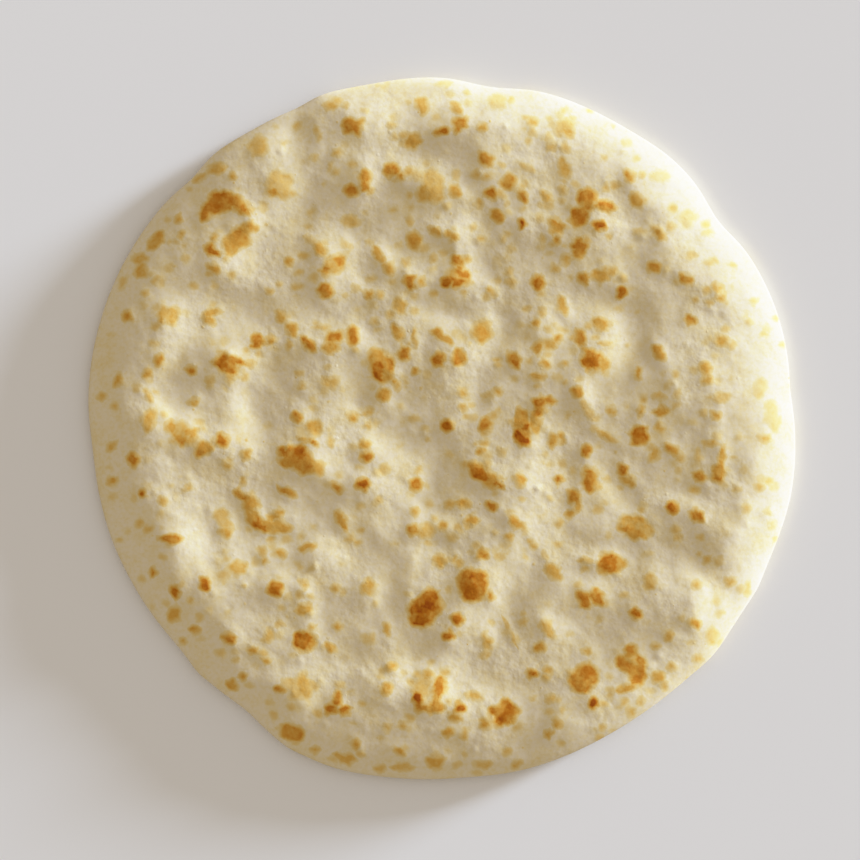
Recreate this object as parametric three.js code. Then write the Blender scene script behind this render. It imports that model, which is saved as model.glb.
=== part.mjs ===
// Lavash: one round of soft flatbread, baked on a griddle and lying flat with its top side up.
// Millimetres, +Z up. The origin is on the surface the bread lies on, under the middle of its outline.
// Angles are in degrees, counterclockwise from +X as seen from above.
import * as THREE from 'three';

// Driving dimensions
const RADIUS = 120; // mean radius of the round
const CRUMB_HEIGHT = 8.4; // top of the bread inside the rim, before its lumps and hollows
const RIM_HEIGHT = 3.4; // height at which the rim is widest
const ROLL_IN = 8; // how far in from the rim the underside touches down
const SHOULDER = 19; // how far in from the rim the top reaches its full height
const SHOULDER_FALL = 2.3; // how soon the shoulder flattens towards the middle
const SHOULDER_ROUND = 0.6; // how blunt the rim is
const RELIEF_FADE = 6; // the lumps and hollows die away over this much of the rim

// On one side the dough was pressed thinner, so its rim is lower and sharper and flattens sooner
const THIN_SIDE = { angle: 25, halfWidth: 55, sharper: 0.4, sooner: 1.2, rimDrop: 0.6, rise: 0.2 };

// Where the shoulder is longer (+) or shorter (-): [angle, half width in degrees, millimetres]
const SHOULDER_SWELLS = [[25, 50, 11.5], [307, 24, -6], [96, 12, -4]];

// Elsewhere a low crest runs round inside the rim
const CREST = { height: 0.6, in: 17, halfWidth: 9, rampIn: 4 };

// Where the outline swells (+) or is pulled in (-): [angle, half width in degrees, millimetres]
const OUTLINE_SWELLS = [
  [6, 4, -0.7], [20, 9, 0.8], [37, 5, -2.2], [50, 6, 0.8], [82, 6, -2.3], [110, 5, 1.0],
  [114, 3, -0.6], [131, 7, 1.0], [135, 4, -1.4], [155, 27, 2.6], [183, 6, -0.8], [192, 10, -0.9],
  [205, 6, -0.4], [222, 17, -3.1], [225, 3, 0.9], [235, 4, -1.1], [244, 3, 0.6], [251, 9, 1.7],
  [274, 6, -0.6], [303, 16, -1.2], [320, 4, 0.8], [333, 3, 0.5], [350, 9, 1.0],
];

// Bubbles, folds and finger dents of the top side, by region.
// Each is [x, y, half length, half width, turn, strength], a hollow where the strength is negative.
const LUMP_HEIGHT = 0.67; // of a lump with strength 1
const MIDDLE = [
  [1, 22, 7, 11, 0, 0.9], [9, 23, 6, 5, 0, 0.35], [16, 27, 4, 5, 0, -0.25], [13, 11, 5, 9, 0, -0.6],
  [9, 10, 4, 6, 0, -0.2], [-14, 32, 8, 8, 0, 0.5], [-14, 35, 6, 8, 0, -0.2], [3, 39, 9, 4, -10, -0.8],
  [-26, 38, 7, 10, 20, -0.6], [-26, 25, 10, 4, -50, 0.3], [-28, 9, 6, 7, 0, -1.3],
  [-13, 12, 8, 8, 0, -0.25], [-15, 12, 5, 5, 0, -0.5], [-11, -3, 10, 7, -40, -1.4],
  [-20, -3, 11, 5, -45, -0.6], [-6, -8, 10, 5, -55, 0.55], [-3, -16, 8, 14, 0, -1.7],
  [0, -18, 4, 6, 0, 0.35], [-9, -24, 6, 4, -60, -0.3], [-16, -31, 5, 5, 0, -0.4],
  [15, -17, 7, 5, -20, 0.55], [25, -16, 8, 9, 0, 1.2], [26, -13, 6, 5, 0, -0.35],
  [21, -31, 8, 10, -10, 1.4], [4, -34, 11, 5, 0, 0.8], [-1, -40, 5, 5, 0, -0.5],
  [18, -33, 4, 5, 0, -0.3], [31, -28, 5, 9, 0, 0.35], [25, -43, 6, 7, 0, 0.35],
  [27, -33, 5, 5, 0, 0.25],
];
const TOP_SIDE = [
  [12, 96, 15, 11, 0, 1.3], [13, 88, 7, 8, 0, 0.7], [18, 103, 9, 5, 0, 0.4], [8, 93, 6, 5, 0, -0.3],
  [33, 95, 7, 4, 0, -0.2], [28, 86, 7, 4, 0, -0.2], [27, 80, 8, 7, 0, 0.4], [12, 79, 8, 5, 0, 0.3],
  [13, 74, 5, 9, 0, -0.7], [0, 114, 10, 4, 0, -0.5], [-9, 95, 8, 5, 0, -0.9],
  [-6, 81, 10, 7, -10, 1.2], [-8, 83, 12, 6, -15, 0.7], [-1, 86, 4, 4, 0, 0.25],
  [-16, 75, 7, 4, 0, 0.4], [2, 66, 7, 5, -20, 0.7], [-12, 60, 8, 5, -25, -0.45],
  [2, 57, 5, 4, 0, -0.3], [13, 56, 6, 7, 0, -1.2], [13, 58, 6, 4, 0, 0.35], [5, 52, 6, 5, -20, 0.5],
  [-16, 55, 12, 4, -40, 0.35], [-15, 56, 4, 4, 0, -0.25], [-26, 52, 7, 4, -45, -0.4],
  [-9, 43, 5, 4, 0, -0.3], [-29, 86, 8, 10, 0, 1.2], [-28, 103, 9, 7, 0, 0.6],
  [-25, 105, 9, 5, 0, 0.4], [-37, 93, 4, 5, 0, 0.3], [-40, 86, 4, 5, 0, 0.2], [-44, 94, 7, 4, 45, 0.4],
  [-50, 101, 6, 8, 26, -1.0], [-31, 106, 9, 14, 15, 0.5], [-48, 74, 6, 11, -15, -1.0],
  [-30, 67, 9, 6, -15, -0.9], [-40, 54, 7, 11, 0, 1.2], [8, 69, 6, 6, 0, 0.5], [20, 111, 8, 8, 0, 0.6],
  [-15, 35, 11, 11, 0, -0.35], [-9, 112, 11, 10, 0, -0.6], [39, 95, 8, 8, 0, -0.5],
  [-36, 105, 8, 8, 0, -0.4],
];
const UPPER_RIGHT = [
  [52, 68, 10, 11, 0, 1.4], [33, 67, 14, 6, -20, 0.55], [24, 58, 9, 7, 0, -0.3],
  [57, 79, 7, 7, 0, -0.35], [65, 69, 5, 5, 0, -0.35], [64, 86, 5, 5, 0, 0.3], [72, 76, 8, 4, -40, 0.5],
  [76, 63, 8, 5, -35, 0.55], [76, 56, 8, 4, -40, 0.35], [84, 55, 10, 5, -45, 0.3],
  [92, 47, 6, 5, 0, 0.25], [62, 53, 9, 5, 0, -0.3], [54, 45, 12, 5, -10, -1.2],
  [56, 46, 13, 4, -15, 0.3], [46, 40, 9, 5, -15, -0.5], [48, 42, 12, 4, -12, -0.3],
  [60, 38, 5, 4, -20, -0.3], [44, 33, 5, 5, 0, -0.2], [20, 46, 7, 5, -30, 0.25],
  [29, 43, 5, 6, 0, -0.2], [20, 38, 6, 11, 0, -1.2], [35, 33, 6, 6, 0, 0.3], [31, 23, 6, 7, 0, 0.6],
  [24, 22, 5, 5, 0, 0.35], [44, 17, 9, 8, 0, 1.4], [52, 24, 6, 6, 0, 0.9], [66, 34, 7, 13, 10, -1.5],
  [80, 39, 5, 6, 0, -0.35], [90, 36, 6, 4, 0, -0.35], [74, 23, 12, 5, -62, 0.8],
  [68, 19, 4, 5, 0, 0.4], [90, 41, 11, 11, 0, -0.5], [72, 88, 11, 11, 0, 0.5],
  [80, 60, 11, 11, 0, -0.4],
];
const RIGHT_SIDE = [
  [84, 18, 13, 22, 0, 0.8], [93, 8, 9, 11, 0, 0.65], [80, 10, 12, 10, 0, 0.3], [103, 5, 4, 5, 0, 0.1],
  [92, -4, 5, 9, 0, 0.4], [106, -11, 5, 6, 0, 0.6], [47, 10, 4, 5, 0, 0.45], [35, 12, 8, 5, 0, 0.25],
  [54, 13, 6, 4, 45, -0.2], [41, -9, 7, 12, 0, -1.4], [41, -5, 4, 7, 0, 0.25],
  [56, -3, 7, 11, 0, -0.3], [52, -9, 11, 4, -60, -0.3], [61, -21, 6, 10, 30, -1.2],
  [66, -14, 5, 6, 0, -0.45], [72, -12, 5, 9, 0, -0.3], [80, -21, 8, 4, 0, -0.55],
  [102, -29, 4, 6, 0, 0.45], [106, 27, 11, 11, 0, -0.6],
];
const LOWER_RIGHT = [
  [84, -33, 7, 5, -20, 0.3], [84, -28, 9, 4, -10, 0.3], [93, -37, 10, 8, -40, 0.5],
  [98, -37, 6, 4, 0, 0.3], [90, -47, 13, 6, -42, -1.0], [70, -43, 12, 9, -25, -1.2],
  [70, -45, 11, 4, -70, 0.6], [64, -43, 7, 6, 0, -0.6], [54, -33, 7, 6, 0, 0.4],
  [52, -29, 6, 4, 0, -0.45], [44, -27, 6, 6, 0, -0.6], [42, -35, 5, 7, 0, -0.35],
  [52, -40, 9, 4, 0, -0.5], [47, -50, 6, 4, 0, -0.3], [57, -52, 7, 5, 0, -0.65],
  [76, -62, 14, 10, 0, 1.5], [86, -60, 5, 8, 0, 0.6], [85, -63, 5, 10, -20, 0.35],
  [63, -75, 8, 11, 0, 0.3], [49, -67, 8, 7, 0, -0.5], [35, -66, 6, 8, 0, 0.5],
  [38, -63, 4, 4, 0, -0.25], [47, -86, 10, 8, 30, 0.4], [53, -94, 7, 5, 0, 0.3],
  [62, -88, 4, 10, -25, 0.25], [44, -101, 6, 5, 0, 0.4], [33, -97, 5, 5, 0, -0.25],
  [79, -52, 6, 6, 0, 0.4], [22, -47, 8, 8, 0, 0.5], [88, -53, 6, 6, 0, -0.4],
  [72, -86, 11, 11, 0, -0.6], [40, -100, 11, 11, 0, 0.5],
];
const BOTTOM_SIDE = [
  [11, -50, 8, 12, -35, 1.5], [15, -52, 9, 5, 0, 0.4], [11, -54, 6, 5, 0, 0.4],
  [4, -63, 6, 9, -20, 0.8], [21, -64, 6, 13, -25, -1.2], [25, -62, 4, 10, 0, -0.25],
  [31, -55, 4, 9, 0, -0.3], [29, -76, 5, 7, 0, -0.25], [10, -81, 8, 7, 30, -0.9],
  [12, -84, 6, 5, 0, 0.2], [25, -89, 8, 7, 0, -0.5], [26, -104, 8, 7, 0, -0.55],
  [20, -103, 9, 6, 0, -0.35], [5, -109, 5, 4, 0, -0.35], [5, -96, 4, 4, 0, 0.25],
  [-6, -92, 13, 7, -8, 1.3], [-22, -89, 10, 7, 0, 1.2], [-18, -93, 8, 4, 0, 0.2],
  [-8, -106, 9, 5, 0, -0.35], [-20, -106, 16, 4, 0, -0.2], [-32, -102, 12, 4, -15, -0.35],
  [-42, -93, 5, 5, 0, -0.4], [-9, -77, 7, 6, 0, -0.8], [-5, -58, 6, 10, 0, 0.85],
  [-12, -52, 4, 12, 0, 0.55], [-10, -35, 8, 4, 0, 0.3], [-26, -56, 6, 6, 0, 0.5],
  [-28, -58, 8, 6, -40, 0.25], [-13, -44, 11, 11, 0, 0.4],
];
const LOWER_LEFT = [
  [-35, -76, 8, 6, 0, -0.6], [-28, -80, 8, 4, 0, -0.4], [-34, -88, 5, 4, 0, -0.3],
  [-42, -80, 6, 4, 0, -0.25], [-53, -81, 6, 5, 0, -0.45], [-54, -98, 8, 4, -20, 0.2],
  [-64, -78, 13, 6, -28, -0.85], [-69, -80, 8, 4, -20, -0.35], [-59, -72, 9, 8, 0, -0.4],
  [-46, -63, 4, 6, 0, 0.3], [-55, -54, 12, 6, 0, 0.9], [-60, -55, 11, 6, 0, 0.35],
  [-73, -48, 6, 8, 0, 0.5], [-82, -55, 8, 7, 0, 0.6], [-85, -53, 13, 4, -70, -0.5],
  [-90, -42, 7, 15, 20, 1.2], [-98, -49, 8, 6, 0, 0.5], [-80, -37, 4, 7, 15, -0.45],
  [-67, -30, 14, 10, -25, -1.3], [-58, -23, 5, 5, 0, -0.35], [-85, -27, 9, 5, -20, 0.25],
  [-48, -38, 9, 4, 0, -0.25], [-46, -44, 4, 4, 0, 0.35], [-41, -44, 7, 6, -40, 0.8],
  [-45, -28, 7, 6, 0, -0.5], [-47, -23, 6, 5, 0, -0.4], [-35, -32, 4, 4, 0, 0.2],
  [-28, -38, 9, 5, -35, -0.6], [-33, -42, 9, 4, -50, -0.35], [-22, -38, 8, 4, -40, 0.25],
  [-28, -24, 4, 5, 0, -0.25], [-27, -21, 9, 8, -20, 1.2], [-30, -13, 9, 4, -10, -0.3],
  [-45, -11, 8, 8, 0, 1.4], [-80, -70, 10, 11, 0, -0.5], [-40, -92, 11, 11, 0, -0.5],
  [-41, -68, 8, 8, 0, -0.4], [-104, -29, 9, 11, 0, -0.4],
];
const LEFT_SIDE = [
  [-95, -14, 6, 5, 0, 0.25], [-95, -2, 10, 8, -15, 1.2], [-76, -6, 11, 7, 0, 0.9],
  [-87, 2, 5, 8, 0, 0.35], [-81, 2, 4, 6, 0, -0.2], [-75, 8, 5, 5, 0, 0.2], [-65, 6, 9, 4, -62, -0.75],
  [-60, 14, 8, 14, -10, -1.9], [-59, 14, 4, 4, 0, 0.35], [-48, 18, 7, 9, 0, -0.2],
  [-91, 13, 9, 8, -20, -1.3], [-90, 15, 7, 6, 0, 0.5], [-104, 11, 5, 8, 0, -0.45],
  [-97, 23, 4, 5, 0, 0.3], [-76, 24, 10, 8, 0, 1.3], [-95, 32, 7, 9, 0, 0.9],
  [-101, 37, 5, 7, 0, -0.35], [-82, 36, 8, 5, -20, -0.3], [-69, 40, 12, 6, 0, -1.0],
  [-41, 27, 8, 7, 0, 0.4], [-38, 36, 10, 6, 10, -0.85],
];
const UPPER_LEFT = [
  [-94, 47, 8, 6, 45, -0.5], [-77, 45, 4, 5, 0, -0.3], [-76, 56, 9, 8, 0, 1.2],
  [-63, 59, 6, 6, 0, -0.5], [-59, 65, 6, 8, 0, -0.3], [-66, 70, 12, 6, 50, 0.9],
  [-74, 76, 8, 9, 0, 0.45], [-58, 84, 8, 7, 0, 1.0], [-68, 84, 4, 4, 0, 0.3], [-62, 94, 6, 5, 0, 0.25],
];
const TOP_RELIEF = [
  ...MIDDLE, ...TOP_SIDE, ...UPPER_RIGHT, ...RIGHT_SIDE, ...LOWER_RIGHT,
  ...BOTTOM_SIDE, ...LOWER_LEFT, ...LEFT_SIDE, ...UPPER_LEFT,
];

// The underside lies on its resting face in the middle and stands clear of the surface in these hollows
const REST_RADIUS = 26; // wholly flat inside this
const REST_FADE = 10; // and the hollows reach their depth this much further out
const UNDER_HOLLOWS = [
  [48, 30, 15, 9, 30, 0.9], [-12, 62, 18, 10, -15, 1.0], [-60, 20, 11, 15, 20, 0.8],
  [-38, -52, 16, 9, -35, 1.1], [30, -58, 12, 14, 0, 0.8], [78, -14, 9, 14, 10, 0.9],
  [-84, -28, 8, 12, 25, 0.7], [58, 66, 10, 9, 0, 0.8], [-52, 78, 9, 7, 35, 0.7],
  [4, -92, 14, 7, 5, 0.7], [88, 32, 7, 9, 0, 0.6], [-88, 40, 7, 9, -15, 0.6],
];

// Mesh: rings of six more points each round a middle point, and coarser rings below
const TOP_RINGS = 34;
const UNDER_RINGS = TOP_RINGS / 2;
const CROWDING = 0.6; // how much closer the outermost rings lie than even ones
const ROLL_STEPS = [30, 62]; // places of the rings round the underside of the rim, in degrees

const turnBetween = (a, b) => THREE.MathUtils.euclideanModulo(a - b + 180, 360) - 180;
const bell = (distance, halfWidth) => Math.exp(-((distance / halfWidth) ** 2));

// What the swells in a list add up to at an angle
function swelling(angle, swells) {
  const add = (sum, [at, halfWidth, size]) => sum + size * bell(turnBetween(angle, at), halfWidth);
  return swells.reduce(add, 0);
}

function outlineRadius(angle) {
  return RADIUS + swelling(angle, OUTLINE_SWELLS);
}

function relief(x, y, lumps) {
  let height = 0;
  for (const [atX, atY, halfLength, halfWidth, turn, size] of lumps) {
    const angle = THREE.MathUtils.degToRad(turn);
    const along = (x - atX) * Math.cos(angle) + (y - atY) * Math.sin(angle);
    const across = (y - atY) * Math.cos(angle) - (x - atX) * Math.sin(angle);
    height += size * bell(along, halfLength) * bell(across, halfWidth);
  }
  return height;
}

function thinness(angle) {
  return bell(turnBetween(angle, THIN_SIDE.angle), THIN_SIDE.halfWidth);
}

function rimHeight(angle) {
  return RIM_HEIGHT - THIN_SIDE.rimDrop * thinness(angle);
}

// Height of the top side at a point that is `inward` from the rim
function topHeight(x, y, angle, inward) {
  const thin = thinness(angle);
  const reach = Math.min(inward / (SHOULDER + swelling(angle, SHOULDER_SWELLS)), 1);
  const flattened = 1 - (1 - reach) ** (SHOULDER_FALL + THIN_SIDE.sooner * thin);
  const shoulder = flattened ** (SHOULDER_ROUND + THIN_SIDE.sharper * thin);
  const rim = rimHeight(angle);
  const body = rim + (CRUMB_HEIGHT + THIN_SIDE.rise * thin - rim) * shoulder;
  const crest = CREST.height * (1 - thin) * bell(inward - CREST.in, CREST.halfWidth);
  const lumps = LUMP_HEIGHT * relief(x, y, TOP_RELIEF) * THREE.MathUtils.smoothstep(inward, 0, RELIEF_FADE);
  return body + crest * Math.min(inward / CREST.rampIn, 1) + lumps;
}

function underHeight(x, y, inward) {
  const outsideRest = THREE.MathUtils.smoothstep(Math.hypot(x, y), REST_RADIUS, REST_RADIUS + REST_FADE);
  const insideRoll = THREE.MathUtils.smoothstep(inward, ROLL_IN, ROLL_IN + REST_FADE);
  return relief(x, y, UNDER_HOLLOWS) * outsideRest * insideRoll;
}

// Share of the outline's radius at which a ring lies
function ringShare(ring, rings) {
  const even = ring / rings;
  return even + (CROWDING * (even - even ** 4)) / 3;
}

const positions = [];
const triangles = [];

function addPoint(x, y, z) {
  positions.push(x, y, z);
  return positions.length / 3 - 1;
}

// One ring of points: place(angle, outline radius) gives its distance from the middle and its height
function addRing(count, place) {
  const ring = [];
  for (let i = 0; i < count; i += 1) {
    const angle = (i * 360) / count;
    const radians = THREE.MathUtils.degToRad(angle);
    const { distance, height } = place(angle, outlineRadius(angle), Math.cos(radians), Math.sin(radians));
    ring.push(addPoint(distance * Math.cos(radians), distance * Math.sin(radians), height));
  }
  return ring;
}

// Fills between two rings, the outer with the same number of points, or six more, or twice as many.
// It walks both at once and always steps along the one that lags.
function joinRings(inner, outer, facesUp) {
  let i = 0;
  let o = 0;
  while (i < inner.length || o < outer.length) {
    const outerLags = (o + 0.5) * inner.length <= (i + 0.5) * outer.length;
    const stepOuter = o < outer.length && (i === inner.length || outerLags);
    const a = inner[i % inner.length];
    const b = outer[o % outer.length];
    const c = stepOuter ? outer[(o + 1) % outer.length] : inner[(i + 1) % inner.length];
    triangles.push(...(facesUp ? [a, b, c] : [a, c, b]));
    if (stepOuter) o += 1;
    else i += 1;
  }
}

function fanFromMiddle(middle, ring, facesUp) {
  for (let i = 0; i < ring.length; i += 1) {
    const next = ring[(i + 1) % ring.length];
    triangles.push(...(facesUp ? [middle, ring[i], next] : [middle, next, ring[i]]));
  }
}

// The top side, from the middle out to the rim; gives back the ring at the rim
function buildTop() {
  const middle = addPoint(0, 0, topHeight(0, 0, 0, RADIUS));
  let last = null;
  for (let k = 1; k <= TOP_RINGS; k += 1) {
    const share = ringShare(k, TOP_RINGS);
    const ring = addRing(6 * k, (angle, radius, cos, sin) => {
      const distance = radius * share;
      return { distance, height: topHeight(distance * cos, distance * sin, angle, radius - distance) };
    });
    if (last) joinRings(last, ring, true);
    else fanFromMiddle(middle, ring, true);
    last = ring;
  }
  return last;
}

// The rounded underside of the rim, from its widest ring inwards; gives back its innermost ring
function buildRoll(rim) {
  let last = rim;
  for (const step of ROLL_STEPS) {
    const radians = THREE.MathUtils.degToRad(step);
    const ring = addRing(rim.length, (angle, radius) => ({
      distance: radius - ROLL_IN * (1 - Math.cos(radians)),
      height: rimHeight(angle) * (1 - Math.sin(radians)),
    }));
    joinRings(ring, last, false);
    last = ring;
  }
  return last;
}

// The underside, from where it touches down to the middle
function buildUnderside(rollRing) {
  const middle = addPoint(0, 0, 0);
  let last = null;
  for (let k = 1; k <= UNDER_RINGS; k += 1) {
    const ring = addRing(6 * k, (angle, radius, cos, sin) => {
      const distance = ((radius - ROLL_IN) * k) / UNDER_RINGS;
      return { distance, height: underHeight(distance * cos, distance * sin, radius - distance) };
    });
    if (last) joinRings(last, ring, false);
    else fanFromMiddle(middle, ring, false);
    last = ring;
  }
  joinRings(last, rollRing, false);
}

buildUnderside(buildRoll(buildTop()));

const geometry = new THREE.BufferGeometry();
geometry.setAttribute('position', new THREE.Float32BufferAttribute(positions, 3));
geometry.setIndex(triangles);
geometry.computeBoundingBox();
const outlineMiddle = geometry.boundingBox.getCenter(new THREE.Vector3());
geometry.translate(-outlineMiddle.x, -outlineMiddle.y, 0);
geometry.computeVertexNormals();

const bakedDough = new THREE.MeshStandardMaterial({ color: 0xd9c394, roughness: 0.88, metalness: 0 });
const lavash = new THREE.Mesh(geometry, bakedDough);
lavash.name = 'lavash';

const bread = new THREE.Group();
bread.add(lavash);

export default bread;
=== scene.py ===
# Lavash: one round of soft flatbread, browned in spots on the griddle, lying flat with its top side up.
# The bread is shaped in millimetres, +Z up, with angles in degrees counterclockwise from +X as seen
# from above, and is handed to Blender in metres.
import math

import bpy
import numpy as np
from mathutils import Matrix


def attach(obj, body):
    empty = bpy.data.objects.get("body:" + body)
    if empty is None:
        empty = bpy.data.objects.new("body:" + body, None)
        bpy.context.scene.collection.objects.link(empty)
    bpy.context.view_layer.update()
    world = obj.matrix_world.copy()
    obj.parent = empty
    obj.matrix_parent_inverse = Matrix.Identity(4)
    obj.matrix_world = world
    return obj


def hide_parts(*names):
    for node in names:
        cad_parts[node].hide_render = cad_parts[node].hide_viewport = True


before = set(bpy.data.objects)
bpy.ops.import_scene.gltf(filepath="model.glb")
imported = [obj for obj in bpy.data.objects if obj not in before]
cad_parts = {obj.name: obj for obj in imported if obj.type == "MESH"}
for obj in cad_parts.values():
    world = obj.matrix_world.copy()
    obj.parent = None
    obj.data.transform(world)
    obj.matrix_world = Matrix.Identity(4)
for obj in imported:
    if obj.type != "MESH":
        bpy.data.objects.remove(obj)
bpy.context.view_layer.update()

MM = 0.001

# The body of the bread
RADIUS = 120.0  # mean radius of the round
CRUMB_HEIGHT = 8.4  # top of the bread inside the rim, before its lumps and hollows
RIM_HEIGHT = 3.4  # height at which the rim is widest
ROLL_IN = 8.0  # how far in from the rim the underside touches down
SHOULDER = 19.0  # how far in from the rim the top reaches its full height
SHOULDER_FALL = 2.3  # how soon the shoulder flattens towards the middle
SHOULDER_ROUND = 0.6  # how blunt the rim is
RELIEF_FADE = 6.0  # the lumps and hollows die away over this much of the rim

# On one side the dough was pressed thinner, so the shoulder there is long and low at the rim
THIN_ANGLE = 25.0
THIN_HALF_WIDTH = 55.0
THIN_ROUND = 0.4  # and its rim is sharper by this much
THIN_FALL = 1.2  # and it flattens sooner by this much
THIN_RIM_DROP = 0.6  # and its widest place lies this much lower
THIN_RISE = 0.2  # while the crumb inside stands this much higher

# Where the shoulder is longer (+) or shorter (-): angle, half width in degrees, millimetres
SHOULDER_SWELLS = [(25, 50, 11.5), (307, 24, -6.0), (96, 12, -4.0)]

# Elsewhere a low crest runs round inside the rim
CREST_HEIGHT = 0.6
CREST_IN = 17.0  # how far in from the rim it runs
CREST_HALF_WIDTH = 9.0
CREST_RAMP_IN = 4.0  # it fades out over this much of the rim

# Where the outline swells (+) or is pulled in (-): angle, half width in degrees, millimetres
OUTLINE_SWELLS = [
    (6, 4, -0.7), (20, 9, 0.8), (37, 5, -2.2), (50, 6, 0.8), (82, 6, -2.3), (110, 5, 1.0), (114, 3, -0.6),
    (131, 7, 1.0), (135, 4, -1.4), (155, 27, 2.6), (183, 6, -0.8), (192, 10, -0.9), (205, 6, -0.4),
    (222, 17, -3.1), (225, 3, 0.9), (235, 4, -1.1), (244, 3, 0.6), (251, 9, 1.7), (274, 6, -0.6),
    (303, 16, -1.2), (320, 4, 0.8), (333, 3, 0.5), (350, 9, 1.0),
]

# Bubbles, folds and finger dents of the top side, by region.
# Each is x, y, half length, half width, turn, strength: a hollow where the strength is negative.
LUMP_HEIGHT = 0.67  # of a lump with strength 1
LUMPS_MIDDLE = [
    (1, 22, 7, 11, 0, 0.9), (9, 23, 6, 5, 0, 0.35), (16, 27, 4, 5, 0, -0.25), (13, 11, 5, 9, 0, -0.6),
    (9, 10, 4, 6, 0, -0.2), (-14, 32, 8, 8, 0, 0.5), (-14, 35, 6, 8, 0, -0.2), (3, 39, 9, 4, -10, -0.8),
    (-26, 38, 7, 10, 20, -0.6), (-26, 25, 10, 4, -50, 0.3), (-28, 9, 6, 7, 0, -1.3),
    (-13, 12, 8, 8, 0, -0.25), (-15, 12, 5, 5, 0, -0.5), (-11, -3, 10, 7, -40, -1.4),
    (-20, -3, 11, 5, -45, -0.6), (-6, -8, 10, 5, -55, 0.55), (-3, -16, 8, 14, 0, -1.7),
    (0, -18, 4, 6, 0, 0.35), (-9, -24, 6, 4, -60, -0.3), (-16, -31, 5, 5, 0, -0.4),
    (15, -17, 7, 5, -20, 0.55), (25, -16, 8, 9, 0, 1.2), (26, -13, 6, 5, 0, -0.35),
    (21, -31, 8, 10, -10, 1.4), (4, -34, 11, 5, 0, 0.8), (-1, -40, 5, 5, 0, -0.5),
    (18, -33, 4, 5, 0, -0.3), (31, -28, 5, 9, 0, 0.35), (25, -43, 6, 7, 0, 0.35),
    (27, -33, 5, 5, 0, 0.25),
]
LUMPS_TOP = [
    (12, 96, 15, 11, 0, 1.3), (13, 88, 7, 8, 0, 0.7), (18, 103, 9, 5, 0, 0.4), (8, 93, 6, 5, 0, -0.3),
    (33, 95, 7, 4, 0, -0.2), (28, 86, 7, 4, 0, -0.2), (27, 80, 8, 7, 0, 0.4), (12, 79, 8, 5, 0, 0.3),
    (13, 74, 5, 9, 0, -0.7), (0, 114, 10, 4, 0, -0.5), (-9, 95, 8, 5, 0, -0.9), (-6, 81, 10, 7, -10, 1.2),
    (-8, 83, 12, 6, -15, 0.7), (-1, 86, 4, 4, 0, 0.25), (-16, 75, 7, 4, 0, 0.4), (2, 66, 7, 5, -20, 0.7),
    (-12, 60, 8, 5, -25, -0.45), (2, 57, 5, 4, 0, -0.3), (13, 56, 6, 7, 0, -1.2), (13, 58, 6, 4, 0, 0.35),
    (5, 52, 6, 5, -20, 0.5), (-16, 55, 12, 4, -40, 0.35), (-15, 56, 4, 4, 0, -0.25),
    (-26, 52, 7, 4, -45, -0.4), (-9, 43, 5, 4, 0, -0.3), (-29, 86, 8, 10, 0, 1.2),
    (-28, 103, 9, 7, 0, 0.6), (-25, 105, 9, 5, 0, 0.4), (-37, 93, 4, 5, 0, 0.3), (-40, 86, 4, 5, 0, 0.2),
    (-44, 94, 7, 4, 45, 0.4), (-50, 101, 6, 8, 26, -1.0), (-31, 106, 9, 14, 15, 0.5),
    (-48, 74, 6, 11, -15, -1.0), (-30, 67, 9, 6, -15, -0.9), (-40, 54, 7, 11, 0, 1.2),
    (8, 69, 6, 6, 0, 0.5), (20, 111, 8, 8, 0, 0.6), (-15, 35, 11, 11, 0, -0.35),
    (-9, 112, 11, 10, 0, -0.6), (39, 95, 8, 8, 0, -0.5), (-36, 105, 8, 8, 0, -0.4),
]
LUMPS_UPPER_RIGHT = [
    (52, 68, 10, 11, 0, 1.4), (33, 67, 14, 6, -20, 0.55), (24, 58, 9, 7, 0, -0.3),
    (57, 79, 7, 7, 0, -0.35), (65, 69, 5, 5, 0, -0.35), (64, 86, 5, 5, 0, 0.3), (72, 76, 8, 4, -40, 0.5),
    (76, 63, 8, 5, -35, 0.55), (76, 56, 8, 4, -40, 0.35), (84, 55, 10, 5, -45, 0.3),
    (92, 47, 6, 5, 0, 0.25), (62, 53, 9, 5, 0, -0.3), (54, 45, 12, 5, -10, -1.2),
    (56, 46, 13, 4, -15, 0.3), (46, 40, 9, 5, -15, -0.5), (48, 42, 12, 4, -12, -0.3),
    (60, 38, 5, 4, -20, -0.3), (44, 33, 5, 5, 0, -0.2), (20, 46, 7, 5, -30, 0.25),
    (29, 43, 5, 6, 0, -0.2), (20, 38, 6, 11, 0, -1.2), (35, 33, 6, 6, 0, 0.3), (31, 23, 6, 7, 0, 0.6),
    (24, 22, 5, 5, 0, 0.35), (44, 17, 9, 8, 0, 1.4), (52, 24, 6, 6, 0, 0.9), (66, 34, 7, 13, 10, -1.5),
    (80, 39, 5, 6, 0, -0.35), (90, 36, 6, 4, 0, -0.35), (74, 23, 12, 5, -62, 0.8), (68, 19, 4, 5, 0, 0.4),
    (90, 41, 11, 11, 0, -0.5), (72, 88, 11, 11, 0, 0.5), (80, 60, 11, 11, 0, -0.4),
]
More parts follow.
